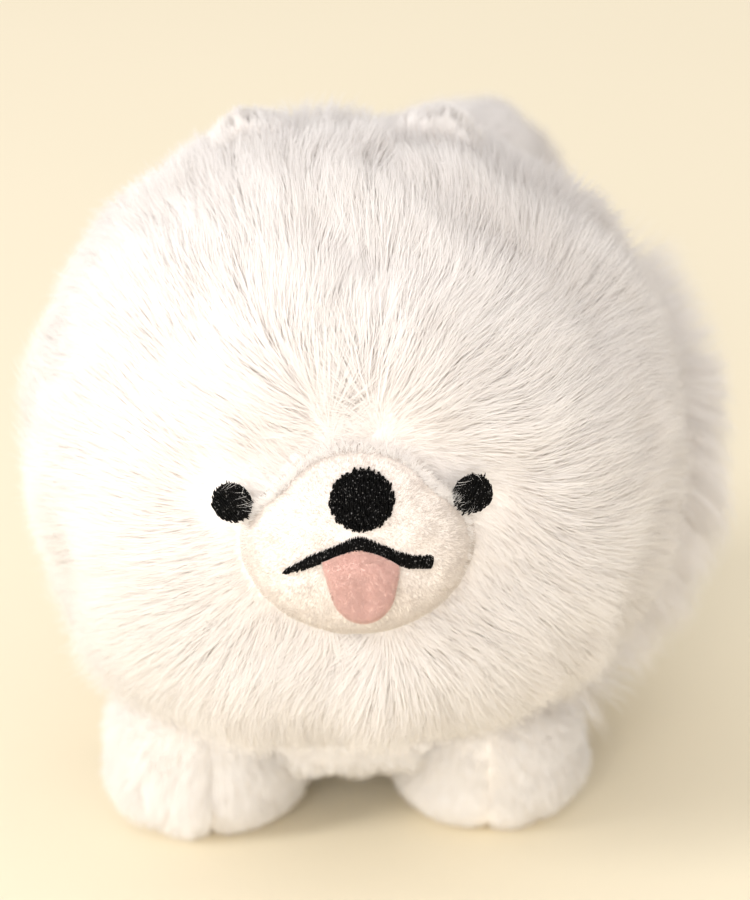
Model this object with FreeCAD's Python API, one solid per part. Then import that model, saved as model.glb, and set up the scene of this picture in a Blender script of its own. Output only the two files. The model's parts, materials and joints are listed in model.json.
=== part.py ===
"""Small standing plush dog: a fluffy ball head on a fluffy trunk, four stubby legs and a curled tail.

Millimetres. +Z is up, the dog faces -Y and its left side is +X. The origin is on the floor,
under the centre of the whole toy. Long pile is modelled as part of the cover that carries it, so
a cover's outside is the outside of its fur. Every joint that lets a big soft piece turn is a ball
in a round seat, so the piece stays clear of its neighbour however it is bent.
"""
import math
import os

import FreeCAD
import Part

V = FreeCAD.Vector
OUT_FOLDER = "parts"

# Clearances
JOINT_GAP = 1.1          # between a soft piece and the seat it bends in
THREAD_GAP = 0.05        # between embroidery and the cloth it is stitched to

# Head: a ball of long pile on a stuffed ball
HEAD = V(0, -22, 92)     # centre of the ball
HEAD_R = 68.0            # outside of the fur
HEAD_CORE_R = 57.0       # stuffing
NECK_SEAT_R = HEAD_R + 2 * JOINT_GAP
NECK_AXIS = V(0, 0.86, -0.51)   # from the head towards the trunk
NECK_RING_ANGLE = 26.0   # half-angle of the stitched neck circle, seen from the head's centre
NECK_THREAD_R = 0.6

# Muzzle: an oval short-pile dome at the front of the head, a little below its middle
MUZZLE = V(0, HEAD.y - 53.0, HEAD.z - 2.6)   # centre of the dome's widest section
MUZZLE_HALF = V(23.5, 12.5, 20.5)   # half width, height of the dome, half height
MUZZLE_CLOTH = 2.4       # short pile and backing
RIM_OPENING = (1.0, 10.0, 17.0)     # opening's clearance at its foot, flare at its mouth, its length

# Embroidery on the face; heights are above the muzzle's centre
NOSE_Z = 11.4
NOSE_R = 6.4
THREAD_HEIGHT = 1.25     # how far the stitches stand above the cloth
MOUTH_HALF_WIDTH = 15.0
MOUTH_PEAK_Z = 3.0
MOUTH_KNEE = (0.5, 0.44)     # where the line bends, as parts of its half width and of its drop
MOUTH_END_Z = -3.2
MOUTH_STITCH = 2.9       # length of the satin stitches across the line
EYE_X = 24.6
EYE_Z = 9.8
EYE_R = 4.1
EYE_THICK = 1.5
EYE_DEPTH = 57.4         # from the head's centre to the back of the eye
EYE_POCKET_R = 5.0

# Tongue: two layers sewn together, hanging from the mouth
TONGUE_HALF_WIDTH = 7.7
TONGUE_LENGTH = 13.0
TONGUE_THICK = 2.6
TONGUE_PIVOT = V(0, HEAD.y - 67.2, HEAD.z - 4.9)
TONGUE_SLOPE = 10.0      # degrees that the hanging tongue leans back to follow the muzzle

# Ears: small two-layer flaps, most of each one inside the fur
EAR_DIRECTION = V(0.30, 0.08, 0.95)   # from the head's centre, left ear
EAR_PIVOT_R = 59.6
EAR_TIP_R = 72.5
EAR_HALF_WIDTH = 8.6
EAR_THICK = 4.4
EAR_POCKET_SLOPE = 15.0  # degrees each way

# Trunk: a wide round-ended form behind the head and a low pad over the legs
TRUNK = V(0, 24, 70)
TRUNK_HALF_WIDTH = 76.0
TRUNK_R = 57.0
TRUNK_PILE = 11.0
PAD_LOW = V(-50, -31, 14)
PAD_HIGH = V(50, 56, 46)
PAD_CORNER_R = 18.0
PAD_CLOTH = 4.0
GUSSET_TOP = 22.0        # the short-pile underside reaches up to here

# Legs
LEG_X = 31.5
LEG_FRONT_Y = -15.0
LEG_REAR_Y = 37.0
LEG_PIVOT_Z = 7.0
LEG_R = 20.5
LEG_BALL_R = 21.8        # the leg's round top, about its pivot
LEG_SOLE_R = 15.5
LEG_PAW_Z = 6.0          # where the rounded edge of the paw ends
LEG_CLOTH = 3.4
LEG_SOLE_THICK = 2.2
LEG_SEAT_R = LEG_BALL_R + JOINT_GAP

# Tail: a curled lobe resting in a dish on the rump
TAIL = V(27, 58.5, 121)
TAIL_R = 20.0
TAIL_CORE_R = 11.0
TAIL_SEAT_R = TAIL_R + JOINT_GAP

# Care label: a blank woven tab caught in the rear seam
LABEL_DROP = 28.0        # degrees below the trunk's rearmost point, about its middle
LABEL_HEIGHT = 13.0
LABEL_REACH = 14.36
LABEL_THICK = 0.8
LABEL_GAP = 0.5          # between the tab and the fur's outside

FAR = 400.0              # longer than anything in the toy


def ball(centre, radius):
    return Part.makeSphere(radius, centre)


def half_space(origin, normal):
    """A big box on the side of the plane that the normal points to."""
    box = Part.makeBox(FAR, FAR, FAR, V(-FAR / 2, -FAR / 2, 0))
    box.Placement = FreeCAD.Placement(V(origin), FreeCAD.Rotation(V(0, 0, 1), V(normal)))
    return box


def ellipsoid(centre, halves):
    """Ellipsoid with its poles up and down and its surface seam at the back."""
    round_form = Part.makeSphere(1.0)
    round_form.rotate(V(0, 0, 0), V(0, 0, 1), 90)
    stretch = FreeCAD.Matrix()
    stretch.scale(halves.x, halves.y, halves.z)
    stretch.move(centre)
    return round_form.transformGeometry(stretch)


def capsule(centre, half_width, radius):
    """Cylinder along X with ball ends."""
    reach = half_width - radius
    form = Part.makeCylinder(radius, 2 * reach, centre - V(reach, 0, 0), V(1, 0, 0))
    ends = [ball(centre + V(side * reach, 0, 0), radius) for side in (-1, 1)]
    return form.fuse(ends).removeSplitter()


def biggest_solid(shape):
    """The main piece, without the slivers that a cut can leave beside it."""
    return max(shape.Solids, key=lambda solid: solid.Volume)


def unit(vector):
    result = V(vector)
    result.normalize()
    return result


# Head and face

def muzzle_dome(extra=0.0):
    halves = V(MUZZLE_HALF.x + extra, MUZZLE_HALF.y + extra, MUZZLE_HALF.z + extra)
    return ellipsoid(MUZZLE, halves)


def muzzle_front():
    """Everything ahead of a plane a little behind the dome's widest section."""
    seam_allowance = 3.0
    return half_space(MUZZLE + V(0, seam_allowance, 0), V(0, -1, 0))


def face_opening():
    """Flared oval hole in the head's fur, from the muzzle's edge out to the tips of the pile."""
    clearance, flare, length = RIM_OPENING
    rings = []
    for step in (-1, 0, 1):
        grow = clearance + max(step, 0) * flare
        centre = MUZZLE - V(0, step * length, 0)
        oval = Part.Ellipse(centre, MUZZLE_HALF.x + grow, MUZZLE_HALF.z + grow)
        oval.Axis = V(0, -1, 0)
        oval.XAxis = V(1, 0, 0)
        rings.append(Part.Wire([oval.toShape()]))
    return Part.makeLoft(rings, True, True)


def eye_disc(side, radius, back, front):
    """Disc facing forwards; back and front are depths ahead of the head's centre."""
    start = V(side * EYE_X, HEAD.y - back, MUZZLE.z + EYE_Z)
    return Part.makeCylinder(radius, front - back, start, V(0, -1, 0))


def ear_frame(side):
    """The ear's up, its width direction and its forward direction."""
    up = unit(V(side * EAR_DIRECTION.x, EAR_DIRECTION.y, EAR_DIRECTION.z))
    across = unit(V(EAR_DIRECTION.z, 0, -side * EAR_DIRECTION.x))
    forward = unit(across.cross(up)).multiply(-1)
    return up, across, forward


def ear_flap(side):
    """Round-topped flap with a round foot along its hinge line."""
    up, across, forward = ear_frame(side)
    pivot = HEAD + up * EAR_PIVOT_R
    height = EAR_TIP_R - EAR_PIVOT_R
    foot_left = pivot - across * EAR_HALF_WIDTH
    foot_right = pivot + across * EAR_HALF_WIDTH
    shoulder = height * 0.62
    left = pivot - across * (EAR_HALF_WIDTH * 0.86) + up * shoulder
    right = pivot + across * (EAR_HALF_WIDTH * 0.86) + up * shoulder
    top = pivot + up * height
    edges = [
        Part.makeLine(foot_left, left),
        Part.Arc(left, top, right).toShape(),
        Part.makeLine(right, foot_right),
        Part.makeLine(foot_right, foot_left),
    ]
    outline = Part.Face(Part.Wire(edges))
    outline.translate(forward * (-EAR_THICK / 2))
    flap = outline.extrude(forward * EAR_THICK)
    foot = Part.makeCylinder(EAR_THICK / 2, 2 * EAR_HALF_WIDTH, foot_left, across)
    return flap.fuse(foot).removeSplitter()


def ear_pocket(side):
    """Wedge in the fur that leaves the ear room to flop."""
    up, across, forward = ear_frame(side)
    side_room = 0.9
    low_half = EAR_THICK / 2 + JOINT_GAP
    low = EAR_PIVOT_R - low_half
    high = EAR_TIP_R + 6
    high_half = low_half + (high - low) * math.tan(math.radians(EAR_POCKET_SLOPE))
    start = HEAD - across * (EAR_HALF_WIDTH + side_room)
    corners = [
        start + up * low - forward * low_half,
        start + up * high - forward * high_half,
        start + up * high + forward * high_half,
        start + up * low + forward * low_half,
    ]
    wedge = Part.Face(Part.makePolygon(corners + corners[:1]))
    return wedge.extrude(across * (2 * (EAR_HALF_WIDTH + side_room)))


def make_head():
    shell = ball(HEAD, HEAD_R).cut(ball(HEAD, HEAD_CORE_R))
    cutters = [face_opening()]
    for side in (-1, 1):
        cutters.append(eye_disc(side, EYE_POCKET_R, EYE_DEPTH, HEAD_R + 1))
        cutters.append(ear_pocket(side))
    shell = shell.cut(cutters)
    inside = muzzle_dome(-MUZZLE_CLOTH).common(muzzle_front())
    dome = muzzle_dome().common(muzzle_front()).cut([inside, ball(HEAD, HEAD_CORE_R)])
    return {
        "head_cover_left": biggest_solid(shell.common(half_space(HEAD, V(1, 0, 0)))),
        "head_cover_right": biggest_solid(shell.common(half_space(HEAD, V(-1, 0, 0)))),
        "head_filling": ball(HEAD, HEAD_CORE_R).fuse(inside),
        "muzzle_cover": biggest_solid(dome),
    }


def stitched_on_muzzle(column):
    """The layer of thread that a forward-facing column marks out on the muzzle."""
    thread = muzzle_dome(THREAD_HEIGHT).cut(muzzle_dome(THREAD_GAP))
    return biggest_solid(thread.common(column))


def mouth_column():
    """Shallow arch with blunt ends, as wide as the satin stitches are long."""
    half = MOUTH_STITCH / 2

    def point(x, z):
        return MUZZLE + V(x, 0, z)

    knee_x = MOUTH_HALF_WIDTH * MOUTH_KNEE[0]
    knee_z = MOUTH_PEAK_Z + (MOUTH_END_Z - MOUTH_PEAK_Z) * MOUTH_KNEE[1]
    upper = Part.BSplineCurve()
    upper.interpolate([point(x, z + half) for x, z in (
        (-MOUTH_HALF_WIDTH, MOUTH_END_Z), (-knee_x, knee_z), (0, MOUTH_PEAK_Z),
        (knee_x, knee_z), (MOUTH_HALF_WIDTH, MOUTH_END_Z))])
    lower = upper.copy()
    lower.translate(V(0, 0, -MOUTH_STITCH))
    ends = [
        Part.makeLine(point(x, MOUTH_END_Z + half), point(x, MOUTH_END_Z - half))
        for x in (-MOUTH_HALF_WIDTH, MOUTH_HALF_WIDTH)
    ]
    wire = Part.Wire(Part.__sortEdges__([upper.toShape(), ends[0], lower.toShape(), ends[1]]))
    return Part.Face(wire).extrude(V(0, -HEAD_CORE_R, 0))


def make_face():
    nose_foot = MUZZLE + V(0, 0, NOSE_Z)
    nose_column = Part.makeCylinder(NOSE_R, HEAD_CORE_R, nose_foot, V(0, -1, 0))
    return {
        "nose_embroidery": stitched_on_muzzle(nose_column),
        "mouth_embroidery": stitched_on_muzzle(mouth_column()),
        "eye_embroidery_left": eye_disc(1, EYE_R, EYE_DEPTH, EYE_DEPTH + EYE_THICK),
        "eye_embroidery_right": eye_disc(-1, EYE_R, EYE_DEPTH, EYE_DEPTH + EYE_THICK),
    }


def make_tongue():
    """U-shaped flap with a round root about its hinge line, leaning back along the muzzle."""
    half = TONGUE_HALF_WIDTH
    straight = TONGUE_LENGTH - half
    left_top = V(-half, 0, 0)
    right_top = V(half, 0, 0)
    left_low = V(-half, 0, -straight)
    right_low = V(half, 0, -straight)
    edges = [
        Part.makeLine(left_top, left_low),
        Part.Arc(left_low, V(0, 0, -TONGUE_LENGTH), right_low).toShape(),
        Part.makeLine(right_low, right_top),
        Part.makeLine(right_top, left_top),
    ]
    flap = Part.Face(Part.Wire(edges)).extrude(V(0, TONGUE_THICK, 0))
    flap.translate(V(0, -TONGUE_THICK / 2, 0))
    root = Part.makeCylinder(TONGUE_THICK / 2, 2 * half, left_top, V(1, 0, 0))
    tongue = flap.fuse(root).removeSplitter()
    front = tongue.common(half_space(V(0, 0, 0), V(0, -1, 0)))
    back = tongue.common(half_space(V(0, 0, 0), V(0, 1, 0)))
    pieces = {"tongue_front": front, "tongue_back": back}
    for piece in pieces.values():
        piece.rotate(V(0, 0, 0), V(1, 0, 0), TONGUE_SLOPE)
        piece.translate(TONGUE_PIVOT)
    return pieces


def make_ears():
    pieces = {}
    for side, name in ((1, "left"), (-1, "right")):
        up, _, forward = ear_frame(side)
        middle = HEAD + up * EAR_PIVOT_R
        flap = ear_flap(side)
        pieces[f"ear_front_{name}"] = flap.common(half_space(middle, forward))
        pieces[f"ear_back_{name}"] = flap.common(half_space(middle, forward * -1))
    return pieces


def make_neck():
    """Ring of strong thread in the gap between the head and its seat."""
    axis = unit(NECK_AXIS)
    angle = math.radians(NECK_RING_ANGLE)
    track_r = (HEAD_R + NECK_SEAT_R) / 2
    centre = HEAD + axis * (track_r * math.cos(angle))
    return {"neck_stitch": Part.makeTorus(track_r * math.sin(angle), NECK_THREAD_R, centre, axis)}


# Trunk

def leg_places():
    return {
        "front_left": V(LEG_X, LEG_FRONT_Y, LEG_PIVOT_Z),
        "front_right": V(-LEG_X, LEG_FRONT_Y, LEG_PIVOT_Z),
        "rear_left": V(LEG_X, LEG_REAR_Y, LEG_PIVOT_Z),
        "rear_right": V(-LEG_X, LEG_REAR_Y, LEG_PIVOT_Z),
    }


def pad(inset):
    """Low block over the legs, with rounded upright edges."""
    size = PAD_HIGH - PAD_LOW - V(inset, inset, inset) * 2
    block = Part.makeBox(size.x, size.y, size.z, PAD_LOW + V(inset, inset, inset))
    upright = [edge for edge in block.Edges if abs(edge.tangentAt(edge.FirstParameter).z) > 0.5]
    return block.makeFillet(PAD_CORNER_R - inset, upright)


def trunk_body(pile, cloth, seat_extra):
    """The trunk's form with its seats, inset by the pile and the cloth."""
    body = capsule(TRUNK, TRUNK_HALF_WIDTH - pile, TRUNK_R - pile).fuse(pad(cloth))
    seats = [ball(HEAD, NECK_SEAT_R + seat_extra), ball(TAIL, TAIL_SEAT_R + seat_extra)]
    seats += [ball(place, LEG_SEAT_R + seat_extra) for place in leg_places().values()]
    return biggest_solid(body.cut(seats))


def make_trunk():
    outside = trunk_body(0, 0, 0)
    filling = trunk_body(TRUNK_PILE, PAD_CLOTH, LEG_CLOTH)
    cover = outside.cut(filling)
    above = half_space(V(0, 0, GUSSET_TOP), V(0, 0, 1))
    below = half_space(V(0, 0, GUSSET_TOP), V(0, 0, -1))
    upper = cover.common(above)
    return {
        "trunk_cover_left": biggest_solid(upper.common(half_space(V(0, 0, 0), V(1, 0, 0)))),
        "trunk_cover_right": biggest_solid(upper.common(half_space(V(0, 0, 0), V(-1, 0, 0)))),
        "belly_gusset": biggest_solid(cover.common(below)),
        "trunk_filling": filling,
    }


def make_label():
    """Folded tab standing straight out of the rear seam."""
    corner = TRUNK + V(-LABEL_THICK / 2, TRUNK_R + LABEL_GAP, -LABEL_HEIGHT / 2)
    tab = Part.makeBox(LABEL_THICK, LABEL_REACH, LABEL_HEIGHT, corner)
    tab.rotate(TRUNK, V(1, 0, 0), -LABEL_DROP)
    return {"care_label": tab}


# Legs

def leg_form(inset, floor):
    """Stubby leg about the Z axis, standing on its floor height, with a round paw edge and top."""
    radius = LEG_R - inset
    ball_r = LEG_BALL_R - inset
    sole_r = LEG_SOLE_R - inset
    shoulder_z = LEG_PIVOT_Z + math.sqrt(ball_r ** 2 - radius ** 2)
    top_z = LEG_PIVOT_Z + ball_r
    turn = math.radians(50)
    paw_mid = V(sole_r + (radius - sole_r) * 0.72, 0, floor + (LEG_PAW_Z - floor) * 0.3)
    crown_mid = V(ball_r * math.cos(turn), 0, LEG_PIVOT_Z + ball_r * math.sin(turn))
    edges = [
        Part.makeLine(V(0, 0, floor), V(sole_r, 0, floor)),
        Part.Arc(V(sole_r, 0, floor), paw_mid, V(radius, 0, LEG_PAW_Z)).toShape(),
        Part.makeLine(V(radius, 0, LEG_PAW_Z), V(radius, 0, shoulder_z)),
        Part.Arc(V(radius, 0, shoulder_z), crown_mid, V(0, 0, top_z)).toShape(),
        Part.makeLine(V(0, 0, top_z), V(0, 0, floor)),
    ]
    return Part.Face(Part.Wire(edges)).revolve(V(0, 0, 0), V(0, 0, 1), 360)


def make_leg(name, place):
    """Inner and outer panel, oval sole and stuffing of one leg."""
    outward = V(math.copysign(1, place.x), 0, 0)
    whole = leg_form(0, 0)
    filling = leg_form(LEG_CLOTH, LEG_SOLE_THICK)
    sole = Part.makeCylinder(LEG_SOLE_R - 1, LEG_SOLE_THICK)
    sleeve = whole.cut([filling, sole])
    pieces = {
        f"leg_outer_panel_{name}": sleeve.common(half_space(V(0, 0, 0), outward)),
        f"leg_inner_panel_{name}": sleeve.common(half_space(V(0, 0, 0), outward * -1)),
        f"leg_sole_{name}": sole,
        f"leg_filling_{name}": filling.cut(sole),
    }
    result = {}
    for node, piece in pieces.items():
        moved = biggest_solid(piece)
        moved.translate(V(place.x, place.y, 0))
        result[node] = moved
    return result


# Tail

def make_tail():
    core = ball(TAIL, TAIL_CORE_R)
    cover = ball(TAIL, TAIL_R).cut(core)
    return {
        "tail_cover_left": biggest_solid(cover.common(half_space(TAIL, V(1, 0, 0)))),
        "tail_cover_right": biggest_solid(cover.common(half_space(TAIL, V(-1, 0, 0)))),
        "tail_filling": core,
    }


def make_all():
    pieces = {}
    pieces.update(make_head())
    pieces.update(make_face())
    pieces.update(make_tongue())
    pieces.update(make_ears())
    pieces.update(make_neck())
    pieces.update(make_trunk())
    pieces.update(make_label())
    pieces.update(make_tail())
    for name, place in leg_places().items():
        pieces.update(make_leg(name, place))
    return pieces


os.makedirs(OUT_FOLDER, exist_ok=True)
for node_name, node_shape in make_all().items():
    node_shape.exportStep(os.path.join(OUT_FOLDER, f"{node_name}.step"))
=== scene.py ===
"""Looks of the plush dog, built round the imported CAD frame.

Metres, +Z up, the dog faces -Y. Each sewn panel gets a cloth skin, and its pile is grown from that
skin as real strands: flat tapered ribbons that follow a combing direction and gather in tufts.
Embroidery is made of single threads. Everything random comes from seeded generators.
"""
import json
import math

import bmesh
import bpy
import numpy as np
from mathutils import Matrix, Vector
from mathutils.kdtree import KDTree


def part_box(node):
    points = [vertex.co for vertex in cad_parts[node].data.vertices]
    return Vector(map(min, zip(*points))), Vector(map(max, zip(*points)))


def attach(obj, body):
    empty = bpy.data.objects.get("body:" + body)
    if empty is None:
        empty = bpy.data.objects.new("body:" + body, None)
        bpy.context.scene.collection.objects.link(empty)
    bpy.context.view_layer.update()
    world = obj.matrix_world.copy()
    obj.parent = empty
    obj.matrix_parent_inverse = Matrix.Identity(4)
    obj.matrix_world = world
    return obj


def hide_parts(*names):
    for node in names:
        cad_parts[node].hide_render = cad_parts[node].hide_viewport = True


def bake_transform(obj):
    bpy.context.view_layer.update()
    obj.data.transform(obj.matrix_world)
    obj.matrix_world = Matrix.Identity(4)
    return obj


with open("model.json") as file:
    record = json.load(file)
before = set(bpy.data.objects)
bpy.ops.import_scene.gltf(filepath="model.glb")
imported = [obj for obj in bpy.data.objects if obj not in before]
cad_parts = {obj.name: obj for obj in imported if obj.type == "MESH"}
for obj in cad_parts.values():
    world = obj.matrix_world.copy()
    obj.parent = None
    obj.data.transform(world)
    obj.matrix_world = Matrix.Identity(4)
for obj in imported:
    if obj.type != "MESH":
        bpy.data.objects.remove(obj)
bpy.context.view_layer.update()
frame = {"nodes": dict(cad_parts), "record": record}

MM = 0.001
WELD_GAP = 1e-6
X, Y, Z = np.eye(3)


# Places, read from the frame

def node_box(*nodes):
    """Lowest and highest corner of some CAD nodes together."""
    boxes = [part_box(node) for node in nodes]
    low = np.min([np.array(box[0]) for box in boxes], axis=0)
    high = np.max([np.array(box[1]) for box in boxes], axis=0)
    return low, high


def joint(name):
    return next(j for j in frame["record"]["behaviour"]["joints"] if j["name"] == name)


def joint_place(name):
    return np.array(joint(name)["pos_m"], float)


HEAD = joint_place("head_nod")
HEAD_LOW, HEAD_HIGH = node_box("head_cover_left", "head_cover_right")
HEAD_R = (HEAD_HIGH[2] - HEAD_LOW[2]) / 2
MUZZLE_LOW, MUZZLE_HIGH = node_box("muzzle_cover")
MUZZLE_DEEP = 12.5 * MM
MUZZLE_HALF = np.array([
    (MUZZLE_HIGH[0] - MUZZLE_LOW[0]) / 2, MUZZLE_DEEP, (MUZZLE_HIGH[2] - MUZZLE_LOW[2]) / 2])
MUZZLE = np.array([0, MUZZLE_LOW[1] + MUZZLE_HALF[1], (MUZZLE_LOW[2] + MUZZLE_HIGH[2]) / 2])
# Hand sewing leaves the face a little off the centre line
FACE_SHIFT = 1.0 * MM
TAIL_LOW, TAIL_HIGH = node_box("tail_cover_left", "tail_cover_right")
TAIL = (TAIL_LOW + TAIL_HIGH) / 2
TAIL_R = (TAIL_HIGH[2] - TAIL_LOW[2]) / 2
TRUNK_HIGH = node_box("trunk_cover_left", "trunk_cover_right")[1]
CORE_HIGH = node_box("trunk_filling")[1]
SIDES = ((1, "left"), (-1, "right"))
LEGS = ("front_left", "front_right", "rear_left", "rear_right")


# Small maths

def unit(vectors):
    return vectors / np.maximum(np.linalg.norm(vectors, axis=-1, keepdims=True), 1e-12)


def flatten(vectors, normals):
    """The part of each vector that lies in the surface."""
    return vectors - (vectors * normals).sum(-1, keepdims=True) * normals


def smooth(low, high, value):
    t = np.clip((value - low) / (high - low), 0, 1)
    return t * t * (3 - 2 * t)


def waves(points, scale, seed, count=9):
    """Smooth random field of about unit spread, made of plane waves about `scale` long."""
    rng = np.random.default_rng(seed)
    ways = unit(rng.normal(size=(count, 3))) * (2 * math.pi / scale)
    ways = ways * rng.uniform(0.7, 1.4, (count, 1))
    phase = rng.uniform(0, 2 * math.pi, count)
    return np.sin(points @ ways.T + phase).sum(1) / math.sqrt(count / 2)


def turn_about(vectors, axes, angles):
    """Rodrigues rotation of each vector about its own unit axis."""
    c, s = np.cos(angles)[:, None], np.sin(angles)[:, None]
    across = axes * (vectors * axes).sum(-1, keepdims=True) * (1 - c)
    return vectors * c + np.cross(axes, vectors) * s + across


def combed(way, normals, swirl):
    """A combing direction laid on the surface and turned by the swirl angles."""
    return turn_about(unit(flatten(way, normals)), normals, swirl)


# Meshes

def vectors_of(mesh, key):
    flat = np.empty(len(mesh.vertices) * 3, np.float32)
    mesh.vertices.foreach_get(key, flat)
    return flat.reshape(-1, 3).astype(float)


def places_of(mesh):
    return vectors_of(mesh, "co")


def set_places(mesh, places):
    mesh.vertices.foreach_set("co", places.astype(np.float32).ravel())
    mesh.update()


def move_points(piece, change):
    """Moves every point of a piece by change(places)."""
    places = places_of(piece.data)
    set_places(piece.data, places + change(places))


def round_faces(piece):
    """Shades a piece smoothly."""
    piece.data.polygons.foreach_set("use_smooth", [True] * len(piece.data.polygons))


def edit_mesh(piece, change):
    """Runs change(work) on a piece's mesh as an editable one."""
    work = bmesh.new()
    work.from_mesh(piece.data)
    change(work)
    work.to_mesh(piece.data)
    work.free()


def make_mesh(name, points, faces):
    mesh = bpy.data.meshes.new(name)
    mesh.from_pydata([tuple(p) for p in points], [], [tuple(f) for f in faces])
    piece = link(name, mesh)
    round_faces(piece)
    return piece


def link(name, mesh):
    piece = bpy.data.objects.new(name, mesh)
    bpy.context.collection.objects.link(piece)
    return piece


def array_mesh(name, points, quads, tris, uv=None, normals=None, **values):
    """Mesh from arrays of quads and triangles; values are per-point float attributes."""
    mesh = bpy.data.meshes.new(name)
    loops = np.concatenate([quads.ravel(), tris.ravel()]).astype(np.int32)
    starts = np.concatenate([np.arange(len(quads)) * 4, len(quads) * 4 + np.arange(len(tris)) * 3])
    mesh.vertices.add(len(points))
    mesh.vertices.foreach_set("co", points.astype(np.float32).ravel())
    mesh.loops.add(len(loops))
    mesh.loops.foreach_set("vertex_index", loops)
    mesh.polygons.add(len(starts))
    mesh.polygons.foreach_set("loop_start", starts.astype(np.int32))
    mesh.polygons.foreach_set("use_smooth", np.ones(len(starts), bool))
    mesh.update(calc_edges=True)
    for key, value in values.items():
        layer = mesh.attributes.new(key, "FLOAT", "POINT")
        layer.data.foreach_set("value", value.astype(np.float32))
    if uv is not None:
        layer = mesh.uv_layers.new(name="OFBake")
        layer.data.foreach_set("uv", uv[loops].astype(np.float32).ravel())
    if normals is not None:
        mesh.normals_split_custom_set_from_vertices(normals.astype(np.float32))
    return link(name, mesh)


def grid_faces(rows, columns, closed):
    """Quads of a grid of points; closed joins the last column to the first."""
    faces = []
    for i in range(rows - 1):
        for j in range(columns if closed else columns - 1):
            k = (j + 1) % columns
            row, above = i * columns, (i + 1) * columns
            faces.append((row + j, row + k, above + k, above + j))
    return faces


# Materials

def material(name):
    made = bpy.data.materials.new(name)
    made.use_nodes = True
    tree = made.node_tree
    tree.nodes.clear()
    return made, tree


def node(tree, kind, inputs=None, **settings):
    made = tree.nodes.new(kind)
    for key, value in settings.items():
        setattr(made, key, value)
    for key, value in (inputs or {}).items():
        if hasattr(value, "is_linked"):
            tree.links.new(value, made.inputs[key])
        else:
            made.inputs[key].default_value = value
    return made


def rgba(colour):
    return (*colour, 1.0)


def ramp(tree, factor, stops):
    made = node(tree, "ShaderNodeValToRGB", {"Fac": factor})
    while len(made.color_ramp.elements) < len(stops):
        made.color_ramp.elements.new(0.5)
    for element, (place, colour) in zip(made.color_ramp.elements, stops):
        element.position = place
        element.color = rgba(colour)
    return made.outputs["Color"]


def mix_colour(tree, factor, a, b, blend="MIX"):
    made = node(tree, "ShaderNodeMix", data_type="RGBA", blend_type=blend)
    for key, value in (("Factor_Float", factor), ("A_Color", a), ("B_Color", b)):
        socket = next(s for s in made.inputs if s.identifier == key)
        if hasattr(value, "is_linked"):
            tree.links.new(value, socket)
        else:
            socket.default_value = value if key == "Factor_Float" else rgba(value)
    return next(s for s in made.outputs if s.identifier == "Result_Color")


def noise(tree, place, scale, detail):
    inputs = {"Vector": place, "Scale": scale, "Detail": detail}
    return node(tree, "ShaderNodeTexNoise", inputs).outputs["Fac"]


def object_place(tree):
    return node(tree, "ShaderNodeTexCoord").outputs["Object"]


def attribute(tree, name):
    return node(tree, "ShaderNodeAttribute", attribute_name=name).outputs["Fac"]


def surface_of(tree, shader):
    node(tree, "ShaderNodeOutputMaterial", {"Surface": shader.outputs[0]})


# Brightness of the darkest, the middle and the lightest tufts
TUFT_TINTS = [(0.0, (0.96, 0.953, 0.945)), (0.5, (0.985, 0.982, 0.98)), (1.0, (1.0, 1.0, 1.0))]


def pile_material(name, root, middle, tip, shine=0.2, glow=0.45, roughness=0.7):
    """Strands: darker and warmer at the root, each tuft a little different, lit through."""
    made, tree = material(name)
    along, shade = attribute(tree, "along"), attribute(tree, "shade")
    colour = ramp(tree, along, [(0.0, root), (0.45, middle), (1.0, tip)])
    colour = mix_colour(tree, 1.0, colour, ramp(tree, shade, TUFT_TINTS), "MULTIPLY")
    body = node(tree, "ShaderNodeBsdfPrincipled", {
        "Base Color": colour, "Roughness": roughness, "Specular IOR Level": shine,
        "Sheen Weight": shine, "Sheen Roughness": 0.5})
    through = node(tree, "ShaderNodeBsdfTranslucent", {"Color": colour})
    mixed = node(tree, "ShaderNodeMixShader", {0: glow, 1: body.outputs[0], 2: through.outputs[0]})
    surface_of(tree, mixed)
    return made


def cloth_material(name, colour, dark, scale, bump=0.25, sheen=0.2):
    """Backing cloth seen between the strands: mottled, matt, with a fine fibre bump."""
    made, tree = material(name)
    place = object_place(tree)
    mottle = noise(tree, place, scale, 4.0)
    fibre = noise(tree, place, scale * 9, 3.0)
    base = ramp(tree, mottle, [(0.3, dark), (0.7, colour)])
    relief = node(tree, "ShaderNodeBump", {"Strength": bump, "Distance": 0.0006, "Height": fibre})
    body = node(tree, "ShaderNodeBsdfPrincipled", {
        "Base Color": base, "Roughness": 0.9, "Specular IOR Level": 0.1, "Sheen Weight": sheen,
        "Normal": relief.outputs[0]})
    surface_of(tree, body)
    return made


def thread_material(name, colour, painted_glint_colour, roughness=0.5, shine=0.04):
    """Embroidery thread: twisted fibre, with painted glints, which are small bright spots mixed
    into its colour.
    """
    made, tree = material(name)
    along = attribute(tree, "along")
    # Painted highlight: where the noise is high, the base colour turns to the glint colour
    glint_noise = noise(tree, object_place(tree), 2600.0, 1.0)
    painted_glint_spots = ramp(tree, glint_noise, [(0.64, (0.0, 0.0, 0.0)), (0.73, (1.0, 1.0, 1.0))])
    twist = node(tree, "ShaderNodeMath", {0: along, 1: 60.0}, operation="MULTIPLY").outputs[0]
    twist = node(tree, "ShaderNodeMath", {0: twist}, operation="SINE").outputs[0]
    base = mix_colour(tree, painted_glint_spots, colour, painted_glint_colour)
    relief = node(tree, "ShaderNodeBump", {"Strength": 0.35, "Distance": 0.0001, "Height": twist})
    body = node(tree, "ShaderNodeBsdfPrincipled", {
        "Base Color": base, "Roughness": roughness, "Specular IOR Level": shine,
        "Normal": relief.outputs[0]})
    surface_of(tree, body)
    return made


# Pile

SOFTNESS = 0.7


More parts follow.
